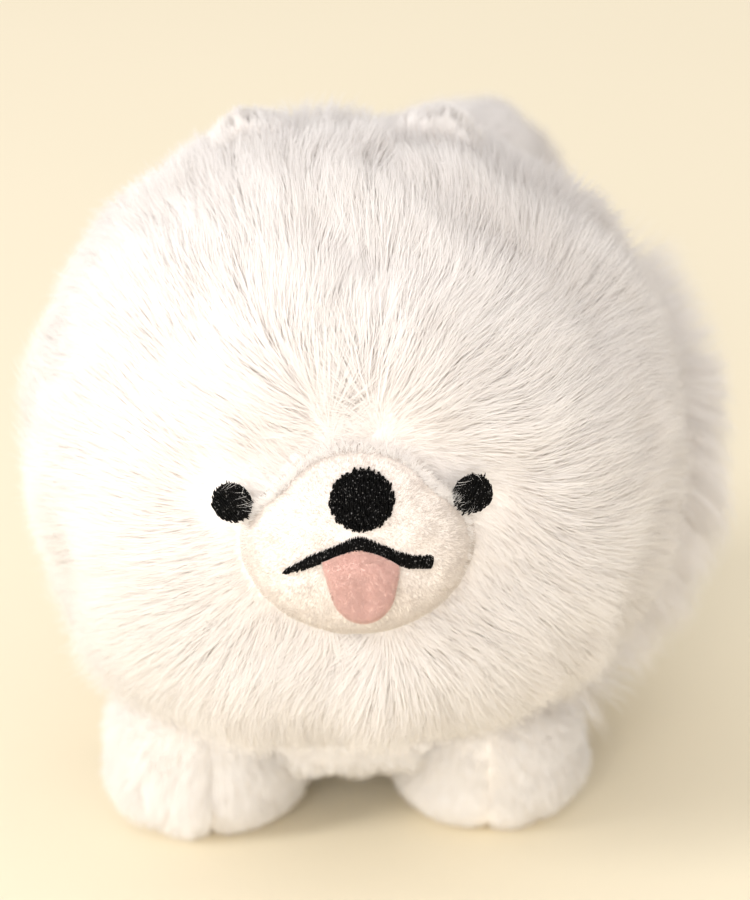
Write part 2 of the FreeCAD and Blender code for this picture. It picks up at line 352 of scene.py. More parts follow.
class Pile:
    """How the strands of one kind of fur grow. Lengths are in metres, angles in degrees."""

    def __init__(self, length, width, lean, segments, tuft, gather, stray=0.12, wave=0.03):
        self.length = length
        self.width = width
        self.lean = lean
        self.segments = segments
        self.tuft = tuft
        self.gather = gather
        self.stray = stray
        self.wave = wave


def scatter(skin, count, rng, weight=None):
    """Random points and normals over a skin, even by area unless weighted."""
    mesh = skin.data
    mesh.calc_loop_triangles()
    corners = np.empty(len(mesh.loop_triangles) * 3, np.int32)
    mesh.loop_triangles.foreach_get("vertices", corners)
    corners = corners.reshape(-1, 3)
    places, normals = vectors_of(mesh, "co"), vectors_of(mesh, "normal")
    a, b, c = (places[corners[:, k]] for k in range(3))
    area = np.linalg.norm(np.cross(b - a, c - a), axis=1)
    if weight is not None:
        area = area * weight((a + b + c) / 3)
    pick = rng.choice(len(corners), size=count, p=area / area.sum())
    u, v = rng.random((2, count))
    flip = u + v > 1
    u[flip], v[flip] = 1 - u[flip], 1 - v[flip]
    share = np.stack([1 - u - v, u, v], 1)[:, :, None]
    return ((places[corners[pick]] * share).sum(1), unit((normals[corners[pick]] * share).sum(1)))


def spines(roots, normals, comb, length, lean, steps):
    """Strand centre lines that start near the normal and bend over along the combing direction."""
    start, end = np.radians(lean[0]), np.radians(lean[1])
    lines = [roots]
    for k in range(steps):
        angle = (start + (end - start) * (k + 0.5) / steps)[:, None]
        step = normals * np.cos(angle) + comb * np.sin(angle)
        lines.append(lines[-1] + step * (length / steps)[:, None])
    return np.stack(lines, 1)


def nearest(points, centres):
    tree = KDTree(len(centres))
    for index, centre in enumerate(centres):
        tree.insert(centre, index)
    tree.balance()
    return np.array([tree.find(point)[1] for point in points])


def grow(skin, pile, count, seed, comb, length, keep=None, lean=None, weight=None):
    """Strands on a skin. comb, length, keep and lean are functions of place and normal."""
    rng = np.random.default_rng(seed)
    roots, normals = scatter(skin, count, rng, weight)
    if keep is not None:
        kept = keep(roots, normals)
        roots, normals = roots[kept], normals[kept]
    total = len(roots)
    steps = pile.segments

    def lines(places, outward, loose):
        way = unit(flatten(comb(places, outward), outward))
        way = turn_about(way, outward, rng.normal(0, loose, len(places)))
        long = length(places, outward) * pile.length
        long = long * rng.uniform(0.82, 1.08, len(places))
        start = np.full(len(places), float(pile.lean[0]))
        end = np.full(len(places), float(pile.lean[1]))
        if lean is not None:
            extra = lean(places, outward)
            start, end = start + extra * 0.5, end + extra
        start = start + rng.normal(0, 6, len(places))
        end = end + rng.normal(0, 8, len(places))
        return spines(places, outward, way, long, (start, end), steps), way

    line, way = lines(roots, normals, pile.stray * 1.6)
    fine = np.sqrt(np.clip(length(roots, normals), 0.25, 1.0))
    spread = np.linalg.norm(np.ptp(roots, axis=0))
    tufts = max(8, min(int(total * 0.3), int(total / count * (spread / pile.tuft) ** 2 * 0.55)))
    chosen = rng.choice(total, size=tufts, replace=False)
    tuft_line, _ = lines(roots[chosen], normals[chosen], pile.stray)
    member = nearest(roots, roots[chosen])
    t = np.linspace(0, 1, steps + 1)
    pull = (pile.gather * rng.uniform(0.35, 1.25, total))[:, None] * t[None, :] ** 1.3
    line = line * (1 - pull[:, :, None]) + tuft_line[member] * pull[:, :, None]
    side = unit(np.cross(way, normals))
    bend = rng.normal(0, pile.wave, (total, 1)) * np.sin(t[None, :] * rng.uniform(2, 5, (total, 1)))
    long = np.linalg.norm(line[:, -1] - line[:, 0], axis=1)
    line = line + side[:, None, :] * (bend * long[:, None])[:, :, None]
    shade = 0.55 + 0.28 * rng.normal(size=tufts)[member] + 0.16 * rng.normal(size=total)
    width = pile.width * rng.uniform(0.7, 1.25, total) * fine
    twist = rng.normal(0, 0.55, total)
    return {"line": line, "side": side, "out": normals, "width": width, "twist": twist,
            "shade": np.clip(shade, 0, 1)}


def strands_mesh(name, strands, chosen):
    """Flat tapered ribbons for the chosen strands, ending in a point."""
    line = strands["line"][chosen]
    total, rings = line.shape[0], line.shape[1]
    along = unit(np.gradient(line, axis=1))
    side = np.repeat(strands["side"][chosen][:, None, :], rings, 1)
    side = unit(side - (side * along).sum(-1, keepdims=True) * along)
    other = np.cross(along, side)
    angle = strands["twist"][chosen][:, None, None]
    side = side * np.cos(angle) + other * np.sin(angle)
    facing = np.cross(side, along)
    outward = strands["out"][chosen][:, None, :]
    flip = np.sign((facing * outward).sum(-1, keepdims=True).mean(1, keepdims=True))
    side, facing = side * flip, facing * flip
    normal = unit(outward * SOFTNESS + facing * (1 - SOFTNESS))
    normal = np.concatenate([np.repeat(normal[:, :-1], 2, 1), normal[:, -1:]], 1)
    t = np.linspace(0, 1, rings)
    taper = (1 - 0.9 * t ** 1.6) * (0.75 + 0.25 * np.minimum(1, t * 5))
    half = (strands["width"][chosen] / 2)[:, None, None] * taper[None, :, None]
    left, right = line - side * half, line + side * half
    body = np.stack([left[:, :-1], right[:, :-1]], 2).reshape(total, -1, 3)
    points = np.concatenate([body, line[:, -1:]], 1)
    per = points.shape[1]
    base = (np.arange(total) * per)[:, None]
    quad = np.concatenate([[2 * k, 2 * k + 1, 2 * k + 3, 2 * k + 2] for k in range(rings - 2)])
    quads = (base + quad[None, :]).reshape(-1, 4)
    tris = base + np.array([[per - 3, per - 2, per - 1]])
    place = np.concatenate([np.repeat(t[:-1], 2), [1.0]])
    across = np.concatenate([np.tile([0.0, 1.0], rings - 1), [0.5]])
    shade = strands["shade"][chosen]
    cell = 1 / 48
    uv = np.empty((total, per, 2))
    uv[:, :, 0] = shade[:, None] * (1 - cell) + across[None, :] * cell
    uv[:, :, 1] = 0.01 + 0.98 * place[None, :]
    return array_mesh(
        name, points.reshape(-1, 3), quads, tris, uv.reshape(-1, 2), normal.reshape(-1, 3),
        along=np.tile(place, total), shade=np.repeat(shade, per))


def dress(piece, look, body, slot, *replaced):
    """Gives a piece its material and its body, and hides the CAD nodes it stands for. The slot is
    not used.
    """
    piece.data.materials.clear()
    piece.data.materials.append(look)
    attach(piece, body)
    if replaced:
        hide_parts(*replaced)
    return piece


def fur(name, strands, look, body, slot, chosen=None):
    total = len(strands["line"])
    chosen = np.ones(total, bool) if chosen is None else chosen
    piece = strands_mesh(name, strands, np.nonzero(chosen)[0])
    return dress(piece, look, body, slot)


# Threads

THREAD_SIDES = 6


def tubes(name, paths, radius, shade, outward=np.array([0, -1.0, 0])):
    """One mesh of round threads along (count, rings, 3) paths, closed at both ends."""
    count, rings = paths.shape[:2]
    along = unit(np.gradient(paths, axis=1))
    guide = np.broadcast_to(outward, paths.shape)
    across = unit(np.cross(along, guide))
    up = np.cross(across, along)
    t = np.linspace(0, 1, rings)
    swell = np.sqrt(np.clip(1 - (2 * t - 1) ** 8, 0.02, 1))
    sides = THREAD_SIDES
    angle = np.linspace(0, 2 * math.pi, sides, endpoint=False)
    radius = np.broadcast_to(np.asarray(radius, float), (count,))
    reach = radius[:, None, None, None] * swell[None, :, None, None]
    ring = (across[:, :, None, :] * np.cos(angle)[None, None, :, None]
            + up[:, :, None, :] * np.sin(angle)[None, None, :, None])
    points = paths[:, :, None, :] + ring * reach
    per = rings * sides
    quad = []
    for i in range(rings - 1):
        for j in range(sides):
            k = (j + 1) % sides
            quad.append([i * sides + j, (i + 1) * sides + j, (i + 1) * sides + k, i * sides + k])
    caps = []
    for start, order in ((0, 1), ((rings - 1) * sides, -1)):
        for j in range(1, sides - 1):
            caps.append([start, start + j, start + j + 1][::order])
    base = (np.arange(count) * per)[:, None, None]
    quads = (base + np.array(quad)[None]).reshape(-1, 4)
    tris = (base + np.array(caps)[None]).reshape(-1, 3)
    place = np.repeat(t, sides)
    uv = np.empty((count, per, 2))
    uv[:, :, 0] = shade[:, None] * 0.95 + np.tile(np.arange(sides) / sides, rings)[None, :] * 0.05
    uv[:, :, 1] = 0.01 + 0.98 * place[None, :]
    return array_mesh(
        name, points.reshape(-1, 3), quads, tris, uv.reshape(-1, 2),
        along=np.tile(place, count), shade=np.repeat(shade, per))


# Materials of this toy

FUR = pile_material(
    "long_pile", (0.92, 0.89, 0.865), (0.95, 0.929, 0.912), (0.97, 0.952, 0.938), glow=0.5)
FUR_SKIN = cloth_material("long_pile_backing", (0.94, 0.91, 0.885), (0.89, 0.855, 0.825), 300)
LEG_FUR = pile_material(
    "leg_pile", (0.95, 0.92, 0.882), (0.975, 0.957, 0.93), (0.988, 0.976, 0.96), glow=0.5)
LEG_SKIN = cloth_material("short_pile_backing", (0.94, 0.91, 0.86), (0.89, 0.85, 0.79), 300)
MUZZLE_FUR = pile_material(
    "muzzle_pile", (0.78, 0.722, 0.675), (0.79, 0.737, 0.693), (0.80, 0.75, 0.707), 0.03)
MUZZLE_SKIN = cloth_material("muzzle_backing", (0.795, 0.74, 0.695), (0.785, 0.73, 0.685), 400)
TONGUE_FUR = pile_material(
    "tongue_pile", (0.745, 0.52, 0.462), (0.755, 0.54, 0.482), (0.765, 0.555, 0.50), 0.03)
TONGUE_SKIN = cloth_material("tongue_backing", (0.755, 0.54, 0.48), (0.745, 0.53, 0.47), 500)
# The second colour of each thread is its painted glint, a painted highlight
BLACK_THREAD = thread_material("black_thread", (0.003, 0.003, 0.003), (0.14, 0.137, 0.135))
BLACK_BASE = cloth_material(
    "black_underlay", (0.004, 0.004, 0.004), (0.002, 0.002, 0.002), 900, sheen=0.0)
STUFFING = cloth_material("polyester_fibre", (0.90, 0.90, 0.89), (0.78, 0.78, 0.77), 160, 0.8)
WHITE_THREAD = thread_material("white_thread", (0.80, 0.78, 0.74), (0.92, 0.91, 0.88), 0.6, 0.4)
LABEL_TAPE = cloth_material("label_tape", (0.88, 0.88, 0.87), (0.82, 0.82, 0.81), 1500, 0.4)

LONG = Pile(
    length=15.5 * MM, width=0.235 * MM, lean=(26, 76),
    segments=4, tuft=3.6 * MM, gather=0.17)
SHAG = Pile(
    length=5.6 * MM, width=0.18 * MM, lean=(22, 64),
    segments=4, tuft=2.4 * MM, gather=0.2)
PLUSH = Pile(
    length=3.6 * MM, width=0.18 * MM, lean=(18, 62),
    segments=3, tuft=1.8 * MM, gather=0.25)
VELVET = Pile(
    length=0.9 * MM, width=0.12 * MM, lean=(10, 44),
    segments=2, tuft=1.0 * MM, gather=0.06)


# Stuffing: cloth that swells between its seams

STUFFED = []
SWELL_FRAMES = 20


def stuff(piece, sewn, cap, pressure=3000.0):
    """Queues a cover for the stuffing: its sewn points hold, the rest swells up to cap."""
    seam = piece.vertex_groups.new(name="seam")
    seam.add([int(i) for i in np.nonzero(sewn)[0]], 1.0, "REPLACE")
    STUFFED.append((piece, cap, pressure))


def swell_covers():
    """Runs Cloth on all the queued covers together and keeps the shapes it gives."""
    for piece, _, pressure in STUFFED:
        cloth = piece.modifiers.new("stuffing", "CLOTH")
        cloth.collision_settings.use_collision = False
        fabric = cloth.settings
        fabric.vertex_group_mass = "seam"
        fabric.mass = 0.002
        fabric.quality = 6
        fabric.tension_stiffness = fabric.compression_stiffness = 2.0
        fabric.shear_stiffness = 0.7
        fabric.bending_stiffness = 0.05
        fabric.use_pressure = True
        fabric.uniform_pressure_force = pressure
        fabric.effector_weights.gravity = 0
    for number in range(1, SWELL_FRAMES + 1):
        bpy.context.scene.frame_set(number)
    graph = bpy.context.evaluated_depsgraph_get()
    for piece, cap, _ in STUFFED:
        before = places_of(piece.data)
        swollen = bpy.data.meshes.new_from_object(piece.evaluated_get(graph))
        move = places_of(swollen) - before
        far = np.linalg.norm(move, axis=1, keepdims=True)
        move = move * np.minimum(1, cap / np.maximum(far, 1e-9))
        piece.modifiers.clear()
        piece.vertex_groups.clear()
        set_places(piece.data, before + move)
        bpy.data.meshes.remove(swollen)
    bpy.context.scene.frame_set(1)


# Head

SKIN_R = HEAD_R - 8.0 * MM
HEAD_STRANDS = 98000
NECK_AXIS = unit(np.array([0, 0.86, -0.51]))
EYES = {side: (node_box(f"eye_embroidery_{side}")[0] + node_box(f"eye_embroidery_{side}")[1]) / 2
        for side in ("left", "right")}


def muzzle_outline(x, z):
    """Share of the ellipse that the muzzle fills in a direction: its upper corners are drawn in."""
    turn = np.degrees(np.arctan2(z, np.abs(x)))
    return 1 - 0.085 * np.exp(-((turn - 42) / 20) ** 2)


def muzzle_reach(points):
    """1 on the muzzle's outline seen from the front, more outside it."""
    away = (points - MUZZLE - X * FACE_SHIFT) / MUZZLE_HALF
    return np.hypot(away[:, 0], away[:, 2]) / muzzle_outline(away[:, 0], away[:, 2])


def eye_reach(points):
    """Distance from the nearer eye, seen from the front."""
    away = [np.hypot(points[:, 0] - eye[0], points[:, 2] - eye[2]) for eye in EYES.values()]
    return np.min(away, axis=0)


def head_surface(directions):
    """The head's backing cloth: a ball, dished round the muzzle and creased at the centre seam."""
    points = HEAD + directions * SKIN_R
    front = directions[:, 1] < 0
    reach = muzzle_reach(points)
    dish = np.where(front, 1 - smooth(0.9, 1.6, reach), 0)
    points = points + Y * (dish * 3.0 * MM)[:, None]
    crease = np.exp(-(points[:, 0] / (2.0 * MM)) ** 2) * 1.6 * MM
    lumps = waves(directions * HEAD_R, 42 * MM, 5) * 0.5 * MM
    return points + directions * (lumps - crease)[:, None]


def ball_half(name, side, surface, rows=72, columns=72):
    """Half of a closed ball form on one side of the plane through its middle."""
    turn = np.linspace(-math.pi / 2, math.pi / 2, columns)
    tilt = np.linspace(0, math.pi, rows)
    grid = [(side * math.sin(v) * math.cos(u), math.sin(v) * math.sin(u), math.cos(v))
            for v in tilt for u in turn]
    points = surface(np.array(grid))
    piece = make_mesh(name, points, grid_faces(rows, columns, False))
    weld(piece)
    recalculate(piece, points.mean(0))
    return piece


def weld(piece):
    """Merges the points that meet at a form's poles and drops the empty faces."""
    def change(work):
        bmesh.ops.remove_doubles(work, verts=work.verts, dist=WELD_GAP)
        bmesh.ops.dissolve_degenerate(work, dist=WELD_GAP, edges=work.edges)

    edit_mesh(piece, change)
    piece.data.update()


def head_comb(points, normals):
    """Away from the muzzle, hanging a little low down, parted at the seam and round the eyes."""
    front = unit(MUZZLE - HEAD)
    way = unit(flatten(np.broadcast_to(-front, points.shape), normals))
    local = points - HEAD
    droop = 0.45 * smooth(0.15, -0.7, local[:, 2] / HEAD_R) + 0.12
    way = way - Z * droop[:, None]
    part = np.exp(-np.abs(local[:, 0]) / (5 * MM)) * np.sign(local[:, 0]) * 0.3
    way = way + X * part[:, None]
    for eye in EYES.values():
        away = points - eye
        near = np.exp(-(np.hypot(away[:, 0], away[:, 2]) / (7 * MM)) ** 2)
        way = way + unit(away * np.array([1, 0, 1])) * near[:, None] * 0.6
    swirl = 0.26 * waves(points, 46 * MM, 11) + 0.16 * waves(points, 15 * MM, 12)
    return combed(way, normals, swirl)


def head_length(points, normals):
    local = (points - HEAD) / HEAD_R
    front = local[:, 1] < 0
    long = 0.52 + 0.48 * smooth(1.02, 1.55, np.where(front, muzzle_reach(points), 9))
    by_eye = smooth(4.0 * MM, 12 * MM, np.where(front, eye_reach(points), 1))
    long = long * (0.42 + 0.58 * by_eye)
    behind = local @ NECK_AXIS
    long = long * (1 - 0.22 * smooth(0.45, 0.75, behind))
    around = np.degrees(np.arctan2(np.abs(local[:, 0]), -local[:, 2]))
    rim = np.hypot(local[:, 0], local[:, 2])
    long = long * (1 + 0.42 * np.exp(-((around - 48) / 17) ** 2) * smooth(0.55, 0.85, rim))
    long = long * (1 - 0.42 * np.exp(-(around / 26) ** 2) * smooth(0.55, 0.85, rim))
    left, right = smooth(0.45, 0.95, local[:, 0]), smooth(0.45, 0.95, -local[:, 0])
    long = long * (1 + 0.15 * left - 0.10 * right)
    return long * (1 + 0.10 * waves(points, 22 * MM, 21))


def head_keep(points, normals):
    local = points - HEAD
    on_muzzle = (local[:, 1] < 0) & (muzzle_reach(points) < 1.0)
    on_eye = (local[:, 1] < 0) & (eye_reach(points) < 3.6 * MM)
    in_seat = unit(local) @ NECK_AXIS > 0.78
    return ~(on_muzzle | on_eye | in_seat)


def head_density(points):
    """Thickest on the cheeks and chin, thinnest at the back."""
    front = np.where(points[:, 2] < HEAD[2], 1.25, 1.0)
    return np.where(points[:, 1] < HEAD[1] + 25 * MM, front, 0.75)


def build_head():
    skins = {}
    for side, name in SIDES:
        skin = ball_half(f"head_backing_{name}", side, head_surface)
        dress(skin, FUR_SKIN, "head", "long_pile", f"head_cover_{name}")
        places = places_of(skin.data)
        facing = (places[:, 1] < HEAD[1]) & (muzzle_reach(places) < 1.35)
        stuff(skin, (np.abs(places[:, 0]) < 0.8 * MM) | facing, 1.2 * MM, 900.0)
        skins[side, name] = skin
    yield
    for (side, name), skin in skins.items():
        strands = grow(
            skin, LONG, HEAD_STRANDS, 100 + side, head_comb, head_length, head_keep,
            weight=head_density)
        root = strands["line"][:, 0]
        height = root[:, 2] - HEAD[2]
        fore = root[:, 1] < HEAD[1] - 22 * MM
        parts = {
            "brow": fore & (height > 2 * MM),
            "cheek": fore & (height <= 2 * MM),
            "crown": ~fore & (height > 2 * MM),
            "nape": ~fore & (height <= 2 * MM),
        }
        for part, chosen in parts.items():
            fur(f"head_fur_{part}_{name}", strands, FUR, "head", "long_pile", chosen)


def dome_point(x, z, lift=0.0):
    """Point of the muzzle's cloth in front of (x, z), measured from the muzzle's middle."""
    x, z = np.asarray(x, float), np.asarray(z, float)
    half = MUZZLE_HALF
    height = half[1] * np.sqrt(np.clip(1 - (x / half[0]) ** 2 - (z / half[2]) ** 2, 0, 1))
    point = np.stack([x, -height, z], -1)
    normal = unit(point / half ** 2)
    return MUZZLE + point + normal * lift, normal


def build_muzzle():
    rows, columns = 30, 96
    points = []
    for i in range(rows):
        share = math.sin(math.pi / 2 * (i + 1) / rows)
        sink = 3.0 * MM if i == rows - 1 else 0
        for j in range(columns):
            turn = 2 * math.pi * j / columns
            fill = share * float(muzzle_outline(math.cos(turn), math.sin(turn)))
            place, _ = dome_point(
                MUZZLE_HALF[0] * fill * math.cos(turn), MUZZLE_HALF[2] * fill * math.sin(turn))
            points.append(place + Y * sink + X * FACE_SHIFT)
    faces = [face[::-1] for face in grid_faces(rows, columns, True)]
    centre, _ = dome_point(0, 0)
    points.append(centre + X * FACE_SHIFT)
    faces += [(len(points) - 1, j, (j + 1) % columns) for j in range(columns)]
    skin = make_mesh("muzzle_backing", points, faces)
    recalculate(skin, MUZZLE + Y * 0.02)
    dress(skin, MUZZLE_SKIN, "head", "muzzle_pile", "muzzle_cover")
    local = places_of(skin.data) - MUZZLE
    line, _ = mouth_line(np.clip((local[:, 0] - FACE_SHIFT) / MOUTH_HALF, -1, 1))
    sewn = (np.hypot(local[:, 0] - NOSE[0], local[:, 2] - NOSE[2]) < NOSE_R + 1 * MM) | (
        (np.abs(local[:, 0]) < MOUTH_HALF + 1 * MM) & (np.abs(local[:, 2] - line) < 3 * MM)) | (
        (np.abs(local[:, 0]) < 9 * MM) & (np.abs(local[:, 2] + 8 * MM) < 8 * MM)) | (
        muzzle_reach(local + MUZZLE) > 0.985)
    stuff(skin, sewn, 0.8 * MM, 2500.0)
    yield

    def comb(places, normals):
        way = (places - MUZZLE) * np.array([1, 0, 1]) - Z * 3 * MM
        return combed(way, normals, 0.3 * waves(places, 5 * MM, 31))

    def length(places, normals):
        return 0.8 + 0.08 * waves(places, 6 * MM, 32)

    def keep(places, normals):
        local = places - MUZZLE
        to_nose = np.hypot(local[:, 0] - NOSE[0], (local[:, 2] - NOSE[2]) / NOSE_FLAT)
        s = (local[:, 0] - FACE_SHIFT) / (MOUTH_HALF * 0.97)
        line, wide = mouth_line(s)
        on_mouth = (np.abs(s) < 0.98) & (np.abs(local[:, 2] - line) < wide * 0.42)
        on_tongue = (np.abs(local[:, 0] - TONGUE_SHIFT) < 7.0 * MM) & (
            np.abs(local[:, 2] + 2 * MM) < 4 * MM)
        return ~((to_nose < NOSE_R * 0.93) | on_mouth | on_tongue)

    strands = grow(skin, VELVET, 46000, 300, comb, length, keep)
    fur("muzzle_pile", strands, MUZZLE_FUR, "head", "muzzle_pile")
    build_muzzle_rim()


RIM_HAIRS = 8000


def build_muzzle_rim():
    """Long pile that starts in the muzzle's seam and hides it, thickest over the top."""
    rng = np.random.default_rng(301)
    turn = rng.uniform(0, 2 * math.pi, RIM_HAIRS)
    turn = turn[rng.random(RIM_HAIRS) < 0.22 + 0.78 * smooth(-0.1, 0.5, np.sin(turn))]
    count = len(turn)
    above = smooth(-0.1, 0.6, np.sin(turn))
    across, up = np.cos(turn), np.sin(turn)
    share = rng.uniform(0.93, 1.0, count) ** 0.7 * muzzle_outline(across, up) * 0.999
    place, normal = dome_point(MUZZLE_HALF[0] * share * across, MUZZLE_HALF[2] * share * up)
    place = place + X * FACE_SHIFT - normal * 0.3 * MM
    spread = unit(np.stack([across, np.zeros(count), up], 1))
    outward = unit(normal * 0.5 - Y * (0.45 + 0.25 * above)[:, None])
    way = combed(spread, outward, rng.normal(0, 0.5, count) + 0.3 * waves(place, 9 * MM, 34))
    long = (1.6 + 2.6 * above) * MM * rng.uniform(0.4, 1.2, count)
    lean = (rng.normal(8, 14, count), rng.normal(62, 16, count))
    line = spines(place, outward, way, long, lean, 4)
    strands = {"line": line, "side": unit(np.cross(way, outward)), "out": outward,
               "width": rng.uniform(0.08, 0.14, count) * MM, "twist": rng.normal(0, 0.5, count),
               "shade": np.clip(rng.normal(0.65, 0.2, count), 0, 1)}
    fur("muzzle_rim_fur", strands, FUR, "head", "long_pile")


def recalculate(piece, inside):
    """Turns the faces so that they look away from a point inside the form."""
    mesh = piece.data
    mesh.update()
    inside = Vector(inside)
    votes = sum(1 if (p.center - inside).dot(p.normal) > 0 else -1 for p in mesh.polygons)
    if votes < 0:
        mesh.flip_normals()


# Embroidery

def stitch(start, end, lift, rings=7):
    """Paths of stitches over the muzzle from (x, z) to (x, z), arched off the cloth."""
    t = np.linspace(0, 1, rings)[None, :]
    x = start[0][:, None] * (1 - t) + end[0][:, None] * t
    z = start[1][:, None] * (1 - t) + end[1][:, None] * t
    place, normal = dome_point(x, z)
    arch = (np.sin(t * math.pi) ** 0.45 * lift[:, None])[:, :, None]
    return place + normal * arch


NOSE_LOW, NOSE_HIGH = node_box("nose_embroidery")
NOSE = (NOSE_LOW + NOSE_HIGH) / 2 - MUZZLE + X * 1.9 * MM
NOSE_R = (NOSE_HIGH[0] - NOSE_LOW[0]) / 2
NOSE_FLAT = 0.9
THREAD_R = 0.2 * MM
ROW_PITCH = 0.42 * MM
PAD_HIGH = 0.7 * MM


def disc_stitches(rng, radius, pitch, length, layers, tilt):
    """Fill stitches over a disc: rows of overlapping threads with ragged ends; (x, z) pairs."""
    starts, ends, levels = [], [], []
    for layer in range(layers):
        angle = tilt + rng.normal(0, 0.05) + layer * 0.16
        rows = np.arange(-radius, radius, pitch) + rng.uniform(0, pitch)
        for row in rows:
            chord = math.sqrt(max(radius ** 2 - row ** 2, 0)) + rng.normal(0, 0.26 * MM)
            if chord < 0.6 * MM:
                continue
            place = -chord - rng.uniform(0, length * 0.7)
            while place < chord:
                a, b = max(place, -chord), min(place + length, chord)
                if b - a > 0.8 * MM:
                    starts.append((a, row, angle))
                    ends.append((b, row + rng.normal(0, 0.12 * MM), angle))
                    levels.append(layer)
                place += length * rng.uniform(0.82, 1.0)
    turned = []
    for points in (starts, ends):
        data = np.array(points)
        c, s = np.cos(data[:, 2]), np.sin(data[:, 2])
        turned.append((data[:, 0] * c - data[:, 1] * s, data[:, 0] * s + data[:, 1] * c))
    return turned[0], turned[1], np.array(levels)


def underlay(name, radius, centre, height, surface, flat=1.0):
    """Low black pad under a patch of fill stitches."""
    rings, columns = 14, 64
    points = []
    for i in range(rings):
        share = (i + 1) / rings
        lift = height * math.sqrt(max(1 - share ** 2, 0)) - 0.2 * MM * (i == rings - 1)
        for j in range(columns):
            turn = 2 * math.pi * j / columns
            place, normal = surface(
                centre[0] + radius * share * math.cos(turn),
                centre[1] + radius * flat * share * math.sin(turn))
            points.append(place + normal * lift)
    place, normal = surface(centre[0], centre[1])
    points.append(place + normal * height)
    faces = grid_faces(rings, columns, True)
    faces += [(len(points) - 1, (j + 1) % columns, j) for j in range(columns)]
    piece = make_mesh(name, points, faces)
    recalculate(piece, HEAD)
    return piece


def build_nose():
    rng = np.random.default_rng(41)
    middle = (NOSE[0], NOSE[2])
    pad = underlay("nose_underlay", NOSE_R * 0.97, middle, PAD_HIGH, dome_point, NOSE_FLAT)
    dress(pad, BLACK_BASE, "head", "black_thread")
    start, end, level = disc_stitches(rng, NOSE_R, ROW_PITCH, 2.4 * MM, 2, math.radians(78))
    start = (start[0] + NOSE[0], start[1] * NOSE_FLAT + NOSE[2])
    end = (end[0] + NOSE[0], end[1] * NOSE_FLAT + NOSE[2])
    lift = (0.75 + 0.25 * level + rng.uniform(0, 0.18, len(level))) * MM
    paths = stitch(start, end, lift)
    thick = THREAD_R * rng.uniform(0.9, 1.15, len(level))
    threads = tubes("nose_threads", paths, thick, rng.random(len(level)))
    dress(threads, BLACK_THREAD, "head", "black_thread", "nose_embroidery")


MOUTH_LOW, MOUTH_HIGH = node_box("mouth_embroidery")
MOUTH_HALF = (MOUTH_HIGH[0] - MOUTH_LOW[0]) / 2
MOUTH_WIDE = 2.9 * MM


def mouth_line(s):
    """Height of the mouth's middle line and its stitch length, for s from -1 to 1 across it."""
    soft = 0.05
    drop = (np.hypot(s, soft) - soft) ** 1.12 / (math.hypot(1, soft) - soft) ** 1.12
    peak = MOUTH_HIGH[2] - MUZZLE[2] - MOUTH_WIDE / 2
    low = MOUTH_LOW[2] - MUZZLE[2] + MOUTH_WIDE / 2
    flick = (1.0 * smooth(0.7, 1.0, s) - 0.35 * np.exp(-((s - 0.55) / 0.2) ** 2)) * MM
    height = peak + (low - peak) * drop + flick
    wide = MOUTH_WIDE * np.where(s < 0, 0.4 + 0.62 * smooth(-1.05, -0.6, s), 1.02)
    return height, wide * (1.08 + 0.1 * np.exp(-(s / 0.16) ** 2))


def build_mouth():
    rng = np.random.default_rng(42)
    count = 92
    s = np.linspace(-1, 1, count)
    paths, shades = [], []
    for spread, tall in ((0.80, 0.55), (1.0, 0.95)):
        height, wide = mouth_line(s)
        jitter = rng.normal(0, 0.10 * MM, (4, count))
        half = wide / 2 * spread
        slant = 0.35 * MM
        middle = s * MOUTH_HALF * 0.97 + FACE_SHIFT
        start = (middle + slant + jitter[0], height + half + jitter[1])
        end = (middle - slant + jitter[2], height - half + jitter[3])
        paths.append(stitch(start, end, (tall + rng.uniform(0, 0.12, count)) * MM, 9))
        shades.append(rng.random(count))
    threads = tubes("mouth_threads", np.concatenate(paths), THREAD_R * 1.05, np.concatenate(shades))
    dress(threads, BLACK_THREAD, "head", "black_thread", "mouth_embroidery")


def eye_shift(side):
    """The two eyes are not embroidered quite level."""
    return (np.array([-0.4, 0, 0.9]) if side > 0 else np.array([0.6, 0, 0])) * MM


def eye_disc(side, name):
    """Middle, radius and outward direction of an eye."""
    low, high = node_box(f"eye_embroidery_{name}")
    outward = unit(np.array([side * 0.30, -1.0, 0.10]))
    return (low + high) / 2 + eye_shift(side), (high[0] - low[0]) / 2, outward


def build_eyes():
    for side, name in SIDES:
        rng = np.random.default_rng(50 + side)
        centre, radius, outward = eye_disc(side, name)

        def surface(x, z):
            x, z = np.asarray(x, float), np.asarray(z, float)
            y = (-(x - centre[0]) * outward[0] - (z - centre[2]) * outward[2]) / outward[1]
            place = np.stack([x, y + centre[1], z], -1)
            return place, np.broadcast_to(outward, place.shape)

        middle = (centre[0], centre[2])
        pad = underlay(f"eye_underlay_{name}", radius * 0.96, middle, PAD_HIGH, surface)
        dress(pad, BLACK_BASE, "head", "black_thread")
        tilt = math.radians(side * 62)
        start, end, level = disc_stitches(rng, radius, ROW_PITCH, 3.6 * MM, 2, tilt)
        t = np.linspace(0, 1, 7)[None, :]
        x = centre[0] + start[0][:, None] * (1 - t) + end[0][:, None] * t
        z = centre[2] + start[1][:, None] * (1 - t) + end[1][:, None] * t
        place, normal = surface(x, z)
        away = (x - centre[0]) ** 2 + (z - centre[2]) ** 2
        dome = np.sqrt(np.clip(1 - away / (radius * 1.1) ** 2, 0, 1))
        uneven = rng.uniform(0, 0.12, (len(level), 1))
        lift = (0.25 + 0.6 * dome + 0.18 * level[:, None] + uneven) * MM
        paths = place + normal * (lift * np.sin(t * math.pi) ** 0.3)[:, :, None]
        threads = tubes(f"eye_threads_{name}", paths, THREAD_R, rng.random(len(level)), outward)
        dress(threads, BLACK_THREAD, "head", "black_thread", f"eye_embroidery_{name}")


